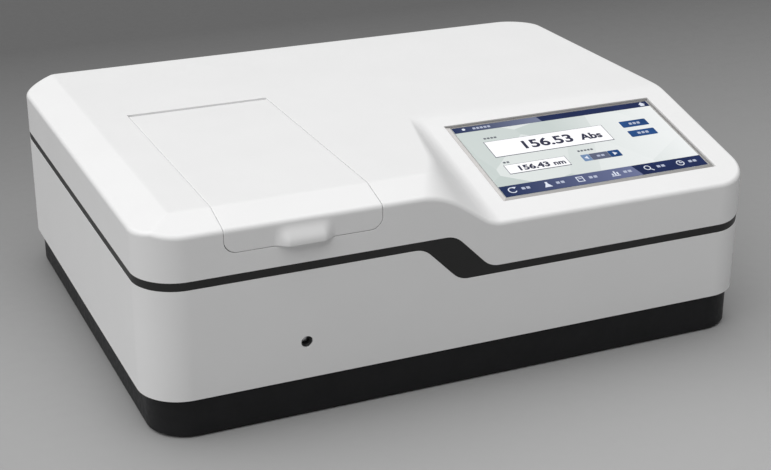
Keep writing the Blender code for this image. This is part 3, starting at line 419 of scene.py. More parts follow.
def two_slots(piece):
    """A second material slot, so that faces left by a cutter can be told apart."""
    while len(piece.data.materials) < 2:
        piece.data.materials.append(white())


def cutter(name, bm):
    """A solid to cut with, whose faces all use the second material slot."""
    for face in bm.faces:
        face.material_index = 1
    tool = link(name, to_mesh(bm))
    two_slots(tool)
    return tool


def subtract(piece, tools):
    """Cuts the tools out of a piece, and removes them."""
    for tool in tools:
        step = piece.modifiers.new("cut", "BOOLEAN")
        step.operation = "DIFFERENCE"
        step.solver = "EXACT"
        step.object = tool
    piece.data = evaluated_mesh(piece)
    piece.modifiers.clear()
    for tool in tools:
        bpy.data.objects.remove(tool)


def carve(piece, tools, softness):
    """Cuts the tools out of a piece, and rounds the rims that they leave."""
    two_slots(piece)
    subtract(piece, tools)
    bm = bmesh.new()
    bm.from_mesh(piece.data)
    bmesh.ops.remove_doubles(bm, verts=bm.verts, dist=WELD)
    bmesh.ops.dissolve_limit(bm, angle_limit=math.radians(FLAT_ANGLE), verts=bm.verts, edges=bm.edges,
                             delimit={"MATERIAL"})
    rims = [e for e in bm.edges if len(e.link_faces) == 2
            and e.link_faces[0].material_index != e.link_faces[1].material_index]
    bmesh.ops.bevel(bm, geom=rims, offset=softness, segments=3, profile=0.5, affect="EDGES",
                    clamp_overlap=True)
    for face in bm.faces:
        face.material_index = 0
    bmesh.ops.triangulate(bm, faces=[f for f in bm.faces if len(f.verts) > 4])
    piece.data = to_mesh(bm)
    piece.data.materials.clear()
    piece.data.materials.append(white())
    return even_shading(piece)


# ------------------ shape of the casing
def clamp(value, low=0.0, high=1.0):
    return max(low, min(high, value))


def ease(value):
    t = clamp(value)
    return t * t * (3 - 2 * t)


def spread(low, high, count):
    """Evenly spaced values from low to high, in count steps."""
    return [low + (high - low) * k / count for k in range(count + 1)]


def deck(x, y):
    """The flat top and the shallow chamfers along its left and front edges."""
    rise = (PLATEAU - EDGE_TOP) / CHAMFER
    under = PLATEAU - EDGE_TOP - rise * min(x, y)
    return PLATEAU - (under + math.hypot(under, CHAMFER_SOFTNESS)) / 2


def flank_edge(y):
    """The slope beside the console at depth y: where it sets in, and where it is at its steepest."""
    depth = min(y, CONSOLE_BACK)
    behind = depth - FLANK_KNEE[1]
    bend = (behind - math.hypot(behind, FLANK_KNEE_SOFTNESS)) / 2
    start = FLANK_KNEE[0] + FLANK_FAN * behind + FLANK_FRONT_FAN * bend
    steep = FLANK_STEEP[0] + FLANK_STEEP_FAN * max(0, depth - FLANK_STEEP[1])
    return start, steep


def flank_share(x, y):
    """How far the slope beside the console has come down at x: 0 on the deck, 1 on the console.

    Its steepness grows over the rounded edge, stays the same, and runs out over a hollow foot.
    """
    start, steep = flank_edge(y)
    fading, end = max(FLANK_FOOT_X[0], steep), FLANK_FOOT_X[1]
    rise = clamp(x, start, steep) - start
    level = clamp(x, steep, fading) - steep
    fade = clamp(x, fading, end) - fading
    come = rise ** 2 / (2 * (steep - start)) + level + fade - fade ** 2 / (2 * (end - fading))
    return come / ((steep - start) / 2 + fading - steep + (end - fading) / 2)


def top_height(x, y):
    """Outer surface of the upper shell, before its edges are rounded."""
    fall = deck(x, y) - (LIP + CONSOLE_SLOPE * y)
    fall = (fall + math.hypot(fall, CREASE_SOFTNESS)) / 2
    fall *= 1 - ease((y - CONSOLE_BACK) / CREASE_FADE)
    return deck(x, y) - fall * flank_share(x, y)


def step_fall(x, span):
    """An S made of two equal arcs and a 45 degree line, falling by STEP across the span."""
    length = span[1] - span[0]
    radius = (length - STEP) / (2 * math.tan(math.radians(22.5)))
    reach = radius * math.sin(math.radians(45))
    d = clamp(x - span[0], 0.0, length)
    if d <= reach:
        return radius - math.sqrt(radius ** 2 - d ** 2)
    if d >= length - reach:
        return STEP - radius + math.sqrt(max(radius ** 2 - (length - d) ** 2, 0.0))
    return radius * (1 - math.cos(math.radians(45))) + d - reach


def side_share(y):
    """The step keeps pace with the console and fades out where the deck begins."""
    left = STEP - y * CONSOLE_SLOPE
    return clamp((left + math.hypot(left, STEP_END_SOFTNESS)) / 2 / STEP)


def lower_rim(x, y):
    """Height of the lower shell's upper rim."""
    return LOWER_TOP - step_fall(x, LOWER_STEP_X) * side_share(y)


def upper_rim(x, y):
    """Height of the upper shell's lower rim."""
    return UPPER_BOTTOM - step_fall(x, UPPER_STEP_X) * side_share(y)


def edge_round(y):
    """Radius of the top edge at depth y: small along the sides and the front, larger at the rear."""
    share = ease((y / DEPTH - REAR_ROUND_FROM) / REAR_ROUND_OVER)
    return FRONT_ROUND + (REAR_ROUND - FRONT_ROUND) * share


# Columns run from front to back. The first number picks a stretch (deck, flank, console) and the
# second is the share along it, so that columns follow the flank's two slanting edges.
COLUMNS = ([(0, t) for t in spread(0.0, 0.88, 20)] + [(0, t) for t in spread(0.9, 0.99, 9)]
           + [(1, t) for t in spread(0.0, 0.965, 27)] + [(2, t) for t in spread(0.0, 1.0, 20)])
ROWS = (spread(CORNER, 156 * MM, 16) + spread(160 * MM, 180 * MM, 10)
        + spread(184 * MM, 196 * MM, 3) + spread(208 * MM, DEPTH - CORNER, 14))
CORNER_STEPS = 16
TOP_INSETS = (9.5, 15, 22, 28, 31, 32, 33, 34, 35.5, 39)
UNDERSIDE_INSETS = (9, 20, 33, 39)


def round_off(radius, degrees):
    """Inset and drop on a rounded edge, which runs from the wall at 0 to the top at 90 degrees."""
    turn = math.radians(degrees)
    return radius * (1 - math.cos(turn)), radius * (1 - math.sin(turn))


def always(value):
    """A function of a plan point that has the same value everywhere."""
    return lambda x, y: value


def raised(surface, lift):
    """A height function moved up by lift."""
    return lambda x, y: surface(x, y) + lift


def column_x(column, y):
    """Where a column crosses depth y."""
    stretch, share = column
    knots = (CORNER, flank_edge(y)[0], FLANK_FOOT_X[1], WIDTH - CORNER)
    return knots[stretch] + (knots[stretch + 1] - knots[stretch]) * share


def corner_places(x, y, start):
    """The stations of a quarter turn about (x, y), from an angle in degrees."""
    made = []
    for k in range(1, CORNER_STEPS):
        angle = math.radians(start + 90 * k / CORNER_STEPS)
        across, along = math.cos(angle), math.sin(angle)
        made.append(lambda d, across=across, along=along: (x + (CORNER - d) * across,
                                                           y + (CORNER - d) * along))
    return made


def wall_places():
    """Functions from an inset to a plan point, for each station round the wall, anticlockwise."""
    right, back = WIDTH - CORNER, DEPTH - CORNER
    made = [lambda d, c=c: (column_x(c, d), d) for c in COLUMNS]
    made += corner_places(right, CORNER, -90)
    made += [lambda d, y=y: (WIDTH - d, y) for y in ROWS]
    made += corner_places(right, back, 0)
    made += [lambda d, c=c: (column_x(c, DEPTH - d), DEPTH - d) for c in reversed(COLUMNS)]
    made += corner_places(CORNER, back, 90)
    made += [lambda d, y=y: (d, y) for y in reversed(ROWS)]
    made += corner_places(CORNER, CORNER, 180)
    return made


PLACES = wall_places()


def known_vertex(bm, known, x, y, z):
    """The vertex at a place, made the first time that it is asked for."""
    key = (round(x, 6), round(y, 6), round(z, 6))
    if key not in known:
        known[key] = bm.verts.new(at(x, y, z))
    return known[key]


def ring(bm, known, inset, height):
    """A loop of vertices inside the wall. Inset and height are functions of a plan point."""
    made = []
    for place in PLACES:
        x, y = place(inset(*place(0.0)))
        made.append(known_vertex(bm, known, x, y, height(x, y)))
    return made


def bridge(bm, first, second):
    """Skins two loops, leaving out faces where they share vertices."""
    count = len(first)
    for k in range(count):
        after = (k + 1) % count
        corners = list(dict.fromkeys((first[k], first[after], second[after], second[k])))
        if len(corners) > 2:
            bm.faces.new(corners)


def fill_inside(bm, known, height):
    """The grid inside the innermost ring."""
    for c0, c1 in zip(COLUMNS, COLUMNS[1:]):
        for y0, y1 in zip(ROWS, ROWS[1:]):
            plan = ((column_x(c0, y0), y0), (column_x(c1, y0), y0),
                    (column_x(c1, y1), y1), (column_x(c0, y1), y1))
            bm.faces.new([known_vertex(bm, known, x, y, height(x, y)) for x, y in plan])


def bell_mesh():
    """The whole upper shell before its openings are cut: a bell with a rounded top edge."""
    bm = bmesh.new()
    known = {}
    inner_known = {}
    rim = ((RIM_ROUND, 0.0), (RIM_ROUND * 0.3, RIM_ROUND * 0.3), (0.0, RIM_ROUND))
    rings = [ring(bm, known, always(d), raised(upper_rim, up)) for d, up in rim]
    for degrees in range(0, 91, 10):
        def inset(x, y, degrees=degrees):
            return round_off(edge_round(y), degrees)[0]

        def height(x, y, degrees=degrees):
            return top_height(x, y) - round_off(edge_round(y), degrees)[1]
        rings.append(ring(bm, known, inset, height))
    rings += [ring(bm, known, always(d * MM), top_height) for d in TOP_INSETS]
    for first, second in zip(rings, rings[1:]):
        bridge(bm, first, second)
    fill_inside(bm, known, top_height)

    def inner_edge(x, y):
        return top_height(x, y) - edge_round(y)
    underside = raised(top_height, -WALL)
    inner = [ring(bm, inner_known, always(WALL), upper_rim),
             ring(bm, inner_known, always(WALL), inner_edge)]
    inner += [ring(bm, inner_known, always(d * MM), underside) for d in UNDERSIDE_INSETS]
    for first, second in zip(inner, inner[1:]):
        bridge(bm, second, first)
    fill_inside(bm, inner_known, underside)
    bridge(bm, inner[0], rings[0])
    bmesh.ops.triangulate(bm, faces=bm.faces)
    return to_mesh(bm)


def band_mesh(profile):
    """A closed band round the wall. The profile lists (inset, height function) going round it."""
    bm = bmesh.new()
    loops = [ring(bm, {}, always(d), height) for d, height in profile]
    for first, second in zip(loops, loops[1:] + loops[:1]):
        bridge(bm, first, second)
    return to_mesh(bm)


def lid_opening():
    """The lid's outline in front view, swept from in front of the casing to behind the barrel."""
    left, right = LID_X
    high = PLATEAU + 20 * MM
    outline = [at(left, 0, high), at(right, 0, high)]
    for x, start in ((right - FLAP_CORNER, 0), (left + FLAP_CORNER, -90)):
        for k in range(17):
            angle = math.radians(start - 90 * k / 16)
            outline.append(at(x + FLAP_CORNER * math.cos(angle), 0,
                              FLAP_BOTTOM + FLAP_CORNER + FLAP_CORNER * math.sin(angle)))
    front, back = -20 * MM, LID_AXIS_Y + LID_EDGE_ROUND + LID_REAR_GAP
    bm = bmesh.new()
    outline_prism(bm, outline, Vector((0, front, 0)), Vector((0, back - front, 0)))
    return cutter("lid_opening", bm)


def console_matrix():
    """The console plane's own frame: u to the right, v up the slope, w off the plane."""
    origin = at(SCREEN_X[0], SCREEN_Y[0], LIP + CONSOLE_SLOPE * SCREEN_Y[0])
    return Matrix.Translation(origin) @ Matrix.Rotation(TILT, 4, "X")


CONSOLE = console_matrix()
SCREEN_WIDE = SCREEN_X[1] - SCREEN_X[0]


def console_loop(inset, lift):
    """The screen opening's rectangle, moved inwards and off the console plane."""
    corners = ((inset, inset), (SCREEN_WIDE - inset, inset),
               (SCREEN_WIDE - inset, SCREEN_HIGH - inset), (inset, SCREEN_HIGH - inset))
    return [CONSOLE @ Vector((u, v, lift)) for u, v in corners]


def screen_window():
    """The screen's opening, through the console's skin."""
    bm = bmesh.new()
    normal = CONSOLE.to_3x3() @ Vector((0, 0, 12 * MM))
    outline_prism(bm, console_loop(0, 0), -normal, 2 * normal)
    return cutter("screen_window", bm)


def upper_shell():
    """The top of the casing, with the lid's opening and the screen's window."""
    shell = link("upper_casing", bell_mesh(), white())
    carve(shell, [lid_opening(), screen_window()], 0.35 * MM)
    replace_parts(shell, "upper_shell")


def rod_hole():
    """The round hole in the front wall that the pull rod comes through."""
    bm = bmesh.new()
    turned(bm, ((ROD_HOLE_R, -10 * MM), (ROD_HOLE_R, 10 * MM)), (LID_MIDDLE, 0, ROD_Z))
    return cutter("rod_hole", bm)


def rear_window():
    """The opening in the rear wall, a little smaller than the connector panel behind it."""
    lip_x, lip_z = REAR_WINDOW_LIP
    outline = rounded_outline(PANEL_LOW.x + lip_x, PANEL_LOW.z + lip_z, PANEL_HIGH.x - lip_x,
                              PANEL_HIGH.z - lip_z, REAR_WINDOW_CORNER)
    points = [Vector((x, at(0, DEPTH, 0).y, z)) for x, z in outline]
    bm = bmesh.new()
    outline_prism(bm, points, Vector((0, -12 * MM, 0)), Vector((0, 24 * MM, 0)))
    return cutter("rear_window", bm)


def lower_shell():
    """The wall between the plinth and the dark band, with the rod's hole and the rear window."""
    r = RIM_ROUND

    def low(lift):
        return always(SHELL_BOTTOM + lift)

    def high(drop):
        return raised(lower_rim, -drop)
    profile = [(r, low(0)), (0.3 * r, low(0.3 * r)), (0, low(r)), (0, low(45 * MM)), (0, high(r)),
               (0.3 * r, high(0.3 * r)), (r, high(0)), (WALL, high(0)), (WALL, low(0))]
    shell = link("lower_casing", band_mesh(profile), white())
    carve(shell, [rod_hole(), rear_window()], 0.4 * MM)
    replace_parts(shell, "lower_shell")


def rounded_outline(x0, y0, x1, y1, radius, steps=8):
    """A rounded rectangle as a list of points, anticlockwise from its lower right corner."""
    made = []
    for x, y, start in ((x1 - radius, y0 + radius, -90), (x1 - radius, y1 - radius, 0),
                        (x0 + radius, y1 - radius, 90), (x0 + radius, y0 + radius, 180)):
        for k in range(steps + 1):
            angle = math.radians(start + 90 * k / steps)
            made.append((x + radius * math.cos(angle), y + radius * math.sin(angle)))
    return made


def seam_trim():
    """The dark band in the joint between the shells, nearly flush, with softened edges."""
    def above(lift):
        return raised(upper_rim, lift)

    def below(lift):
        return raised(lower_rim, lift)
    outer, inner = TRIM_LAP_DEPTH
    soft = TRIM_FACE + 0.15 * MM
    profile = ((soft, below(0.1 * MM)), (TRIM_FACE, below(GAP)), (TRIM_FACE, above(-GAP)),
               (soft, above(-0.1 * MM)), (outer, above(-0.1 * MM)), (outer, above(TRIM_LAP)),
               (inner, above(TRIM_LAP)), (inner, below(-TRIM_LAP)), (outer, below(-TRIM_LAP)),
               (outer, below(0.1 * MM)))
    trim = link("shadow_band", band_mesh(profile), charcoal())
    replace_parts(even_shading(trim), "seam_trim")


FOOT_PLACES = ("front_left", "front_right", "rear_left", "rear_right")


def foot_size(place):
    """A foot's middle, radius and height."""
    low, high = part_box("foot_" + place)
    return (low + high) / 2, (high.x - low.x) / 2, high.z - low.z


def plinth_loop(bm, inset, z):
    """A loop round the plinth at height z, inset from its outer face."""
    outline = rounded_outline(PLINTH_LOW.x + inset, PLINTH_LOW.y + inset, PLINTH_HIGH.x - inset,
                              PLINTH_HIGH.y - inset, PLINTH_CORNER - inset, 20)
    return [bm.verts.new((x, y, z)) for x, y in outline]


def plinth_mesh():
    """A tray with rounded edges: the inside first, then the outside from the bottom up."""
    low, high = PLINTH_LOW.z, PLINTH_HIGH.z
    bm = bmesh.new()
    rim, ground = [plinth_loop(bm, PLINTH_WALL, z) for z in (high, low + PLINTH_FLOOR)]
    outside = [plinth_loop(bm, inset * MM, z) for inset, z in (
        (1.4, low), (0.7, low + 0.2 * MM), (0.2, low + 0.7 * MM), (0.0, low + 1.4 * MM),
        (0.0, high - 0.6 * MM), (0.6, high))]
    bridge(bm, rim, ground)
    bm.faces.new(ground)
    bm.faces.new(outside[0])
    for first, second in zip(outside, outside[1:]):
        bridge(bm, first, second)
    bridge(bm, outside[-1], rim)
    return to_mesh(bm)


def foot_seat(place):
    """A shallow round pocket in the plinth's underside, with a little room round the foot."""
    middle, radius, _ = foot_size(place)
    bm = bmesh.new()
    bmesh.ops.create_cone(bm, cap_ends=True, segments=48, radius1=radius + SEAT_SLACK,
                          radius2=radius + SEAT_SLACK, depth=SEAT_CUT)
    bmesh.ops.translate(bm, vec=(middle.x, middle.y, PLINTH_LOW.z), verts=bm.verts)
    return link("seat_" + place, to_mesh(bm))


def base_plinth():
    """The black base, standing on four feet that sit in its underside."""
    plinth = link("plinth", plinth_mesh(), plinth_black())
    subtract(plinth, [foot_seat(place) for place in FOOT_PLACES])
    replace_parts(even_shading(plinth), "base_plinth")


def feet():
    """Rubber pads with a rounded, slightly hollow sole."""
    for place in FOOT_PLACES:
        middle, radius, tall = foot_size(place)
        middle -= at(0, 0, 0)
        bm = bmesh.new()
        turned(bm, ((0.3 * MM, 0.5 * MM), (radius - 5 * MM, 0.5 * MM), (radius - 4.4 * MM, 0),
                    (radius - 1.4 * MM, 0), (radius - 0.7 * MM, 0.3 * MM), (radius - 0.3 * MM, 1.0 * MM),
                    (radius, tall - 0.4 * MM), (radius - 0.4 * MM, tall), (0.3 * MM, tall)),
               (middle.x, middle.y, 0), "z", 56)
        foot = link("pad_" + place, to_mesh(bm), rubber())
        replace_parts(foot, "foot_" + place)


def rod_bush():
    """The black bush in the rod's hole, with a rounded mouth. Its profile runs from its back."""
    outer, end = ROD_HOLE_R - GAP, -BUSH_LONG
    bm = bmesh.new()
    turned(bm, ((BUSH_BORE_R, 0), (BUSH_BORE_R, end + 1.4 * MM), (BUSH_BORE_R + 1.1 * MM, end),
                (outer - 0.4 * MM, end), (outer, end + 0.4 * MM), (outer, 0)),
           (LID_MIDDLE, BUSH_BACK, ROD_Z), ring=True)
    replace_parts(link("pull_rod_bush", to_mesh(bm), inner_black()), "rod_bush")


# ------------------ lid
# Depths in mm at which the lid's top is cut into rows, closer together at the chamfer.
LID_ROWS = (270, 240, 205, 170, 135, 100, 70, 50, 40, 36, 35, 34, 33, 32, 31, 28, 22, 15, 9, 5)
BARREL_STEPS = 30
FLAP_STEPS = 14
FLAP_INNER_TOP = 176.5 * MM
LID_INNER_REAR = 150 * MM


def flap_bottom(x):
    """Height of the flap's lower edge at x: level, with rounded corners."""
    near = min(x - (LID_X[0] + LID_GAP), (LID_X[1] - LID_GAP) - x)
    short = clamp(FLAP_CORNER - near, 0.0, FLAP_CORNER)
    return FLAP_BOTTOM + LID_GAP + FLAP_CORNER - math.sqrt(FLAP_CORNER ** 2 - short ** 2)


def grip_bulge(x, z):
    """How far the finger grip stands out of the flap."""
    shoulder = ease((GRIP_WIDTH / 2 - abs(x - LID_MIDDLE)) / GRIP_SHOULDER)
    return GRIP_OUT * shoulder * ease((GRIP_TOP - z) / (GRIP_TOP - GRIP_FULL))


def lid_section(x):
    """The lid's closed section at x in (y, z): round the barrel, over the top and down the flap."""
    made = []
    meet = math.pi - math.asin((LID_EDGE_ROUND - WALL) / LID_EDGE_ROUND)
    for k in range(BARREL_STEPS + 1):
        angle = meet - 2 * math.pi + (math.pi / 2 - meet + 2 * math.pi) * k / BARREL_STEPS
        made.append((LID_AXIS_Y + LID_EDGE_ROUND * math.cos(angle),
                     LID_AXIS_Z + LID_EDGE_ROUND * math.sin(angle)))
    made += [(y * MM, deck(x, y * MM)) for y in LID_ROWS]
    for degrees in range(90, -1, -10):
        y, drop = round_off(FRONT_ROUND, degrees)
        made.append((y, deck(x, y) - drop))
    top = made[-1][1]
    edge, bottom = LID_END_ROUND, flap_bottom(x)
    for k in range(1, FLAP_STEPS + 1):
        z = top + (bottom + edge - top) * k / FLAP_STEPS
        made.append((-grip_bulge(x, z), z))
    face = -grip_bulge(x, bottom + edge)
    for degrees in (30, 60, 90):
        inset, lift = round_off(edge, degrees)
        made.append((face + inset, bottom + lift))
    made += [(WALL - 0.4 * MM, bottom), (WALL, bottom + 0.4 * MM), (WALL, FLAP_INNER_TOP),
             (8 * MM, deck(x, 8 * MM) - WALL), (CHAMFER + 2 * MM, PLATEAU - WALL),
             (LID_INNER_REAR, PLATEAU - WALL)]
    return made


def pulled_in(section, distance):
    """A section moved inwards along its normals."""
    count = len(section)
    area = sum(section[k - 1][0] * section[k][1] - section[k][0] * section[k - 1][1]
               for k in range(count))
    sign = 1 if area > 0 else -1
    made = []
    for k in range(count):
        before, after = section[k - 1], section[(k + 1) % count]
        along = Vector((after[0] - before[0], after[1] - before[1])).normalized()
        made.append((section[k][0] - sign * along.y * distance, section[k][1] + sign * along.x * distance))
    return made


def lid_columns():
    """Positions across the lid, closer together at its rounded ends and at the grip's shoulders."""
    left = LID_X[0] + LID_GAP
    corner = [left + FLAP_CORNER * (1 - math.cos(math.radians(a))) for a in range(20, 91, 7)]
    start = LID_MIDDLE - GRIP_WIDTH / 2
    half = (corner + spread(left + 15 * MM, start - 3 * MM, 5)
            + spread(start, start + GRIP_SHOULDER, 13)
            + spread(start + GRIP_SHOULDER + 2 * MM, LID_MIDDLE, 6))
    return half + [2 * LID_MIDDLE - x for x in reversed(half[:-1])]


def sample_lid():
    """The lid with its flap and grip: sections across it, pulled in at both ends to round them."""
    left, right = LID_X[0] + LID_GAP, LID_X[1] - LID_GAP
    start = []
    for degrees in (0, 30, 60):
        shift, inward = round_off(LID_END_ROUND, degrees)
        start.append((left + shift, inward))
    middle = [(x, 0.0) for x in lid_columns() if left + LID_END_ROUND <= x <= right - LID_END_ROUND]
    end = [(left + right - x, inward) for x, inward in reversed(start)]
    loops = []
    for x, inward in start + middle + end:
        section = lid_section(x)
        if inward:
            section = pulled_in(section, inward)
        loops.append([at(x, y, z) for y, z in section])
    bm = bmesh.new()
    loops_mesh(bm, loops, caps=True)
    bmesh.ops.triangulate(bm, faces=[f for f in bm.faces if len(f.verts) > 4])
    lid = link("compartment_lid", to_mesh(bm, 42), white(), "lid")
    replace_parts(even_shading(lid), "sample_lid")


# ------------------ display
# Sizes in mm across, up and off the console plane. The glass lies a little below the plane.
GLASS_INSET = 5.2
GLASS_LIFTS = (-2.0, -0.75, -0.6)
GLASS_FACE = GLASS_LIFTS[2]
PICTURE_INSET = 5.3
LAYER = 0.05
FIGURE_SHARE = 0.729
LIGHT_PANEL = (0.83, 0.85, 0.85)


def display_frame():
    """A metal frame that slopes down outwards and leaves a thin dark joint to the casing."""
    profile = ((0.45, -4.0), (0.45, -1.95), (0.70, -1.80), (4.2, -0.42), (4.6, -0.40), (4.9, -0.60),
               (5.0, -0.9), (5.0, -4.0))
    bm = bmesh.new()
    loops_mesh(bm, [console_loop(d * MM, w * MM) for d, w in profile], closed=True)
    bezel = link("display_frame", to_mesh(bm, 12), silver())
    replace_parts(bezel, "display_bezel")


def glass_slab():
    """The touch glass, with a small chamfer round its face."""
    bm = bmesh.new()
    insets = (GLASS_INSET, GLASS_INSET, GLASS_INSET + 0.15)
    loops_mesh(bm, [console_loop(d * MM, lift * MM) for d, lift in zip(insets, GLASS_LIFTS)], caps=True)
    glass = link("touch_screen", to_mesh(bm, 20), screen_picture())
    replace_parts(glass, "touch_glass")


def across_screen(tree, place, start, end):
    """A share that grows from 0 to 1 between two places in mm across the screen's opening."""
    left, right = (at(SCREEN_X[0] + u * MM, 0, 0).x for u in (start, end))
    return along(tree, place, "X", left, right)


def lit(tree, shader, place, colour, glow):
    """Lets a display colour shine a little as well as reflect, under slightly uneven gloss."""
    tree.links.new(colour, shader.inputs["Base Color"])
    tree.links.new(colour, shader.inputs["Emission Color"])
    shader.inputs["Emission Strength"].default_value = glow
    shader.inputs["Specular IOR Level"].default_value = 0.25
    tree.links.new(ranged(tree, noise(tree, place, 3.0), 0.18, 0.22), shader.inputs["Roughness"])


def screen_picture():
    """The pale background of the display: facets of grey-green that grow lighter to the right."""
    made, tree, shader = new_material("screen_picture")
    place = texture_place(tree)
    facets = tree.nodes.new("ShaderNodeTexVoronoi")
    facets.inputs["Scale"].default_value = 1 / (62 * MM)
    tree.links.new(place, facets.inputs["Vector"])
    grey = tree.nodes.new("ShaderNodeSeparateColor")
    tree.links.new(facets.outputs["Color"], grey.inputs["Color"])
    base = mixed(tree, grey.outputs["Red"], (0.52, 0.58, 0.56), (0.74, 0.77, 0.76))
    share = across_screen(tree, place, 100, SCREEN_WIDE / MM)
    lit(tree, shader, place, mixed(tree, share, base, LIGHT_PANEL), 0.08)
    shader.inputs["Coat Weight"].default_value = 0.5
    shader.inputs["Coat Roughness"].default_value = 0.06
    return made


def faded(name, first, second, start, end):
    """A display colour that changes from one end of a bar to the other."""
    made, tree, shader = new_material(name)
    place = texture_place(tree)
    share = across_screen(tree, place, start, end)
    lit(tree, shader, place, mixed(tree, share, first, second), 0.12)
    return made


def shapes(name, outlines, look, level=0):
    """Flat shapes on the display. Outlines are in mm across and up it, and level stacks them."""
    bm = bmesh.new()
    low = (GLASS_FACE + LAYER * level) * MM
    for outline in outlines:
        loops = [[CONSOLE @ Vector((u * MM, v * MM, low + lift * MM)) for u, v in outline]
                 for lift in (0.0, LAYER + 0.01)]
        loops_mesh(bm, loops, caps=True)
    bmesh.ops.triangulate(bm, faces=[f for f in bm.faces if len(f.verts) > 4])
    return link(name, to_mesh(bm, 20), look)


def bar(u0, v0, u1, v1, radius=0.0):
    """A rectangle's outline, rounded when it has a radius."""
    if radius:
        return rounded_outline(u0, v0, u1, v1, radius, 4)
    return [(u0, v0), (u1, v0), (u1, v1), (u0, v1)]


def words(name, text, u, v, high, look, bold, wide):
    """Plain figures or a unit on the display, as a mesh. High is the height of a figure in mm."""
    font = bpy.data.curves.new(name, "FONT")
    font.body = text
    font.size = high * MM / FIGURE_SHARE
    font.extrude = LAYER * MM / 2
    font.offset = bold * MM
    font.resolution_u = 4
    holder = added(name, font)
    mesh = evaluated_mesh(holder)
    bpy.data.objects.remove(holder)
    lift = (GLASS_FACE + 2 * LAYER) * MM
    mesh.transform(CONSOLE @ Matrix.Translation((u * MM, v * MM, lift))
                   @ Matrix.Diagonal((wide, 1, 1, 1)))
    bm = bmesh.new()
    bm.from_mesh(mesh)
    bmesh.ops.remove_doubles(bm, verts=bm.verts, dist=WELD)
    return link(name, to_mesh(bm, 20), look)


def circle(u, v, radius, sides=20):
    angles = [2 * math.pi * k / sides for k in range(sides)]
    return [(u + radius * math.cos(a), v + radius * math.sin(a)) for a in angles]


def arc_band(u, v, radius, thick, start, end, steps=12):
    """A bent bar: part of a ring between two angles in degrees, as short straight pieces."""
    angles = [math.radians(a) for a in spread(start, end, steps)]
    outer = [(u + radius * math.cos(a), v + radius * math.sin(a)) for a in angles]
    inner = [(u + (radius - thick) * math.cos(a), v + (radius - thick) * math.sin(a)) for a in angles]
    return [[outer[k], outer[k + 1], inner[k + 1], inner[k]] for k in range(steps)]


# Small generic pictograms about 9 mm across, each with its place along the menu bar.
MENU_SIGNS = (
    (16, arc_band(0, 0, 4.4, 1.1, 50, 330) + [[(1.6, 4.6), (5.2, 4.0), (2.6, 1.4)]]),
    (51.6, [[(-4, -3.8), (4, -3.8), (1.2, 1.2), (-1.2, 1.2)], bar(-1.2, 1.2, 1.2, 4)]),
    (86, [bar(-3.6, -4, -2.6, 4), bar(2.6, -4, 3.6, 4), bar(-2.6, 3, 2.6, 4), bar(-2.6, -4, 2.6, -3),
          bar(-1.6, 0.4, 1.6, 1.3)]),
    (122.7, [bar(-4.4, -4, 4.4, -3), bar(-3.6, -2.4, -2, 0.4), bar(-0.8, -2.4, 0.8, 3.6),
             bar(2, -2.4, 3.6, 1.8)]),
    (159, arc_band(-0.8, 0.8, 3.6, 1.0, 0, 360) + [[(1.4, -2.2), (2.2, -1.4), (4.6, -3.8), (3.8, -4.6)]]),
    (194, arc_band(0, 0, 4.2, 1.0, 0, 360) + [bar(-0.5, -0.4, 0.5, 2.8), bar(0.5, -0.4, 2.4, 0.5)]),
)


def label_bars(u, v, count, tall, pitch):
    """A short row of small blocks in place of a word."""
    made = []
    for k in range(count):
        left = u + k * pitch
        made.append(bar(left, v, left + pitch * 0.72, v + tall, 0.3))
    return made


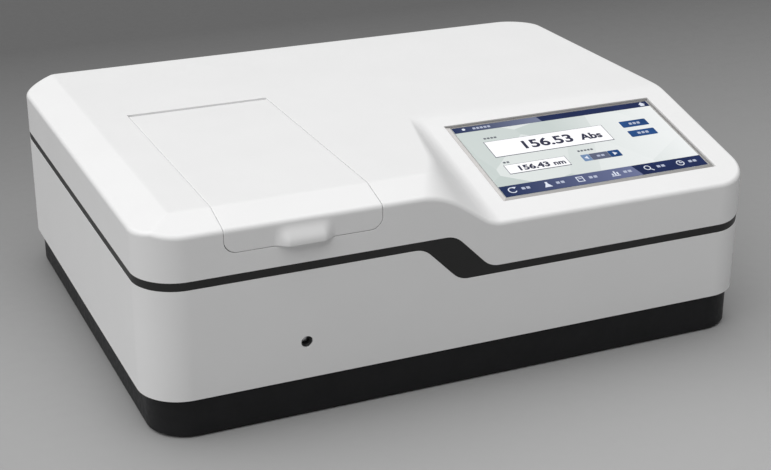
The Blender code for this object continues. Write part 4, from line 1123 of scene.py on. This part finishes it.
def display_picture():
    """What the display shows: two dark bars, two value boxes, buttons, and signs on them."""
    u0 = v0 = PICTURE_INSET
    u1, v1 = SCREEN_WIDE / MM - u0, SCREEN_HIGH / MM - v0
    navy = shown("navy", (0.010, 0.020, 0.078), 0.2)
    fade = faded("menu_fade", (0.013, 0.026, 0.085), (0.13, 0.15, 0.27), 10, 145)
    head = faded("head_fade", (0.013, 0.026, 0.085), (0.16, 0.18, 0.27), 5, 98)
    paper = shown("paper", (0.90, 0.90, 0.92))
    ink = shown("ink", (0.026, 0.028, 0.058))
    blue = shown("blue", (0.014, 0.062, 0.20), 0.3)
    pale_blue = shown("pale_blue", (0.16, 0.25, 0.42), 0.1)
    light = shown("light", (0.66, 0.70, 0.80))
    label = shown("label", (0.42, 0.46, 0.58))
    shapes("menu_bars", [bar(u0, v0, u1, 21.6), bar(u0, 112.8, u1, v1)], navy)
    shapes("menu_tab", [[(u0, v0 + 0.1), (148.7, v0 + 0.1), (144.3, 21.5), (u0, 21.5)]], fade, 1)
    shapes("head_tab", [[(u0, 112.9), (98.2, 112.9), (95.8, v1 - 0.1), (u0, v1 - 0.1)]], head, 1)
    shapes("box_edges", [bar(25.0, 66.0, 152.4, 92.8), bar(25.9, 37.6, 90.2, 52.5)], ink)
    shapes("value_boxes", [bar(25.6, 66.8, 151.9, 92.4), bar(26.4, 38.4, 89.7, 52.1)], paper, 1)
    words("reading", "156.53", 57, 73.6, 12.8, ink, bold=0.5, wide=1.19)
    words("reading_unit", "Abs", 121.6, 73.6, 9.6, ink, bold=0.5, wide=1.1)
    words("wavelength", "156.43", 36.4, 41.2, 7.6, ink, bold=0.42, wide=1.2)
    words("wavelength_unit", "nm", 74, 41.2, 6.8, ink, bold=0.34, wide=1.08)
    shapes("buttons", [bar(172, 82.4, 201.4, 93.2, 1.2), bar(172, 65.6, 201.4, 76.2, 1.2),
                       bar(134.2, 39.4, 146.4, 50, 1.0)], blue)
    shapes("stepper_left", [bar(105.3, 39.4, 114.2, 50, 1.0)], pale_blue)
    shapes("stepper_middle", [bar(114.4, 39.4, 134, 50)], shown("grey_blue", (0.10, 0.115, 0.18)))
    marks = [[(107.3, 44.7), (111.4, 42), (111.4, 47.4)], [(143.2, 44.7), (138.8, 42), (138.8, 47.4)]]
    marks += [[(209, 116.8), (216.4, 116.8), (212.7, 120.6)], bar(210.4, 114, 215, 116.8)]
    marks += [circle(16.2, 117.6, 1.7)]
    blocks = label_bars(181, 86.0, 3, 3.4, 4.4) + label_bars(181, 69.2, 3, 3.4, 4.4)
    blocks += label_bars(25.7, 115.8, 5, 3.0, 3.9) + label_bars(121, 43.4, 2, 2.8, 4.6)
    for u, sign in MENU_SIGNS:
        marks += [[(u + across, 14 + up) for across, up in outline] for outline in sign]
        blocks += label_bars(u + 9.4, 12.6, 2, 3.4, 4.9)
    shapes("display_signs", marks, light, 2)
    shapes("display_labels", blocks, label, 2)
    shapes("display_notes", label_bars(28, 97, 4, 2.4, 3.6) + label_bars(27.8, 55.4, 2, 2.4, 3.6)
           + label_bars(106.4, 55.4, 5, 2.4, 3.5), shown("note", (0.12, 0.13, 0.15)))


# ------------------ rear panel
# Bench x and z in mm, and for a printed bar its length too.
PANEL_SCREWS = [(x, z) for x in (60, 178, 345, 530) for z in (56, 114)]
GUARD_SCREWS = [(110 + dx, 85 + dz) for dx in (-25, 25) for dz in (-25, 25)]
PRINT = ((497, 90, 26), (462, 90, 16), (411, 77, 18), (358, 80, 24), (366, 108, 62), (366, 102, 50),
         (366, 96, 56))
SERIAL_X, SERIAL_Z = 370, 68
POST_REACH = 14.6
PIN_PITCH = 2.77
PIN_ROWS = ((5, 1.4), (4, -1.4))
PIN_ROOT = 6

# Turned profiles in mm: radius, and height off the panel or off the pin's root.
SCREW_HEAD = ((2.9, 0), (2.9, 0.8), (2.2, 1.5), (1.2, 1.6), (1.0, 0.6))
JACK_POST = ((2.7, 0), (2.7, 4.2), (1.4, 4.4), (1.4, 1.5))
PIN = ((0.5, 0), (0.5, 4.6), (0.2, 5))


def on_panel(bm, profile, x, z, sides, depth=0):
    """Adds a small turned part to the rear panel. Everything is in mm."""
    turned(bm, [(radius * MM, height * MM) for radius, height in profile],
           (x * MM, PANEL_FACE - depth * MM, z * MM), sides=sides)


def rear_details():
    """Screws, the serial port's pins and jack posts, and short bars where the panel is printed."""
    screws = bmesh.new()
    for x, z in PANEL_SCREWS + GUARD_SCREWS:
        on_panel(screws, SCREW_HEAD, x, z, 20)
    for side in (-POST_REACH, POST_REACH):
        on_panel(screws, JACK_POST, SERIAL_X + side, SERIAL_Z, 6)
    link("rear_screws", to_mesh(screws), steel())
    pins = bmesh.new()
    for count, rise in PIN_ROWS:
        for k in range(count):
            on_panel(pins, PIN, SERIAL_X + PIN_PITCH * (k - (count - 1) / 2), SERIAL_Z + rise, 8, PIN_ROOT)
    link("serial_pins", to_mesh(pins), gold())
    printed = bmesh.new()
    for x, z, length in PRINT:
        block(printed, (x * MM, PANEL_FACE, z * MM),
              ((x + length) * MM, PANEL_FACE + 0.06 * MM, (z + 1.7) * MM))
    link("panel_print", to_mesh(printed), inner_black())


# ------------------ nodes that keep their shape
# Each row is a finish, the width in mm by which hard edges are rounded, and the nodes.
KEPT = (
    (charcoal, 0.4, ("lid_seal",)),
    (inner_black, 0.5, ("sample_chamber", "lcd_panel", "fan_frame", "fan_rotor")),
    (steel, 0.25, ("guide_rail_left", "guide_rail_right", "pull_rod", "hinge_pin", "filter_motor",
                   "tungsten_lamp_base", "deuterium_lamp_base")),
    (steel, 0.4, ("hinge_bracket_left", "hinge_bracket_right")),
    (aluminium, 0.4, ("chassis_plate", "lamp_housing", "monochromator_base", "mirror_mount",
                      "grating_table", "supply_bracket")),
    (anodised, 0.4, ("cell_rack", "mirror_motor", "filter_wheel", "monochromator_cover", "entrance_slit",
                     "exit_slit", "grating_motor", "lens_mount", "detector_housing")),
    (mirror, 0.3, ("lamp_mirror", "grating", "collimating_mirror", "focusing_mirror")),
    (lens_glass, 0.3, ("beam_lens", "photodiode", "tungsten_lamp_bulb", "deuterium_lamp_bulb")),
    (board, 0.2, ("display_board", "main_board", "power_supply", "preamp_board")),
    (aluminium, 0.25, ("rear_panel",)),
    (inner_black, 0.3, ("power_inlet", "switch_housing", "switch_rocker")),
    (nickel, 0.2, ("usb_port", "serial_port")),
    (steel, 0.3, ("fan_guard",)),
)


def kept_nodes():
    for look, width, names in KEPT:
        for name in names:
            node = NODES[name]
            node.data.materials.clear()
            node.data.materials.append(look())
            rounded(node, width)


# ------------------ setting
def studio():
    """Even white surroundings and one very wide light from above."""
    world = bpy.data.worlds.new("studio")
    world.use_nodes = True
    background = world.node_tree.nodes["Background"]
    background.inputs["Color"].default_value = (1.0, 1.0, 1.0, 1)
    background.inputs["Strength"].default_value = AMBIENT
    bpy.context.scene.world = world
    bpy.context.scene.view_settings.view_transform = "Standard"
    lamp = bpy.data.lights.new("softbox", "SUN")
    lamp.energy = KEY_STRENGTH
    lamp.angle = math.radians(KEY_SPREAD)
    added("softbox", lamp).rotation_euler = KEY_FROM.to_track_quat("Z", "Y").to_euler()


def floor():
    """A grey table top with painted shade, so that it grows darker towards the back."""
    bm = bmesh.new()
    bmesh.ops.create_grid(bm, x_segments=1, y_segments=1, size=6.0)
    made = finish("floor_grey", FLOOR_NEAR, 0.6, grain=3, relief=0.01, patch=400, drift=0.01)
    tree = made.node_tree
    # Painted shade: the table top's colour darkens from front to back.
    depth = along(tree, texture_place(tree), "Y", *FLOOR_SHADE_Y)
    shade = mixed(tree, depth, FLOOR_NEAR, FLOOR_FAR_SHADED)
    tree.links.new(shade, tree.nodes["Principled BSDF"].inputs["Base Color"])
    ground = link("floor", to_mesh(bm))
    ground.data.materials.append(made)


def camera():
    """The camera, turned by yaw about the vertical, down by pitch, and by a slight roll."""
    yaw, pitch, roll = (math.radians(a) for a in (CAMERA_YAW, CAMERA_PITCH, CAMERA_ROLL))
    forward = Vector((math.sin(yaw) * math.cos(pitch), math.cos(yaw) * math.cos(pitch), -math.sin(pitch)))
    level = Vector((math.cos(yaw), -math.sin(yaw), 0))
    upward = level.cross(forward)
    right = level * math.cos(roll) + upward * math.sin(roll)
    up = upward * math.cos(roll) - level * math.sin(roll)
    turn = Matrix((right, up, -forward)).transposed().to_4x4()
    made = added("camera", bpy.data.cameras.new("camera"))
    made.data.lens = CAMERA_LENS
    made.matrix_world = Matrix.Translation(CAMERA_AT) @ turn
    bpy.context.scene.camera = made


camera()
studio()
floor()
upper_shell()
lower_shell()
seam_trim()
base_plinth()
feet()
rod_bush()
sample_lid()
display_frame()
glass_slab()
display_picture()
rear_details()
kept_nodes()
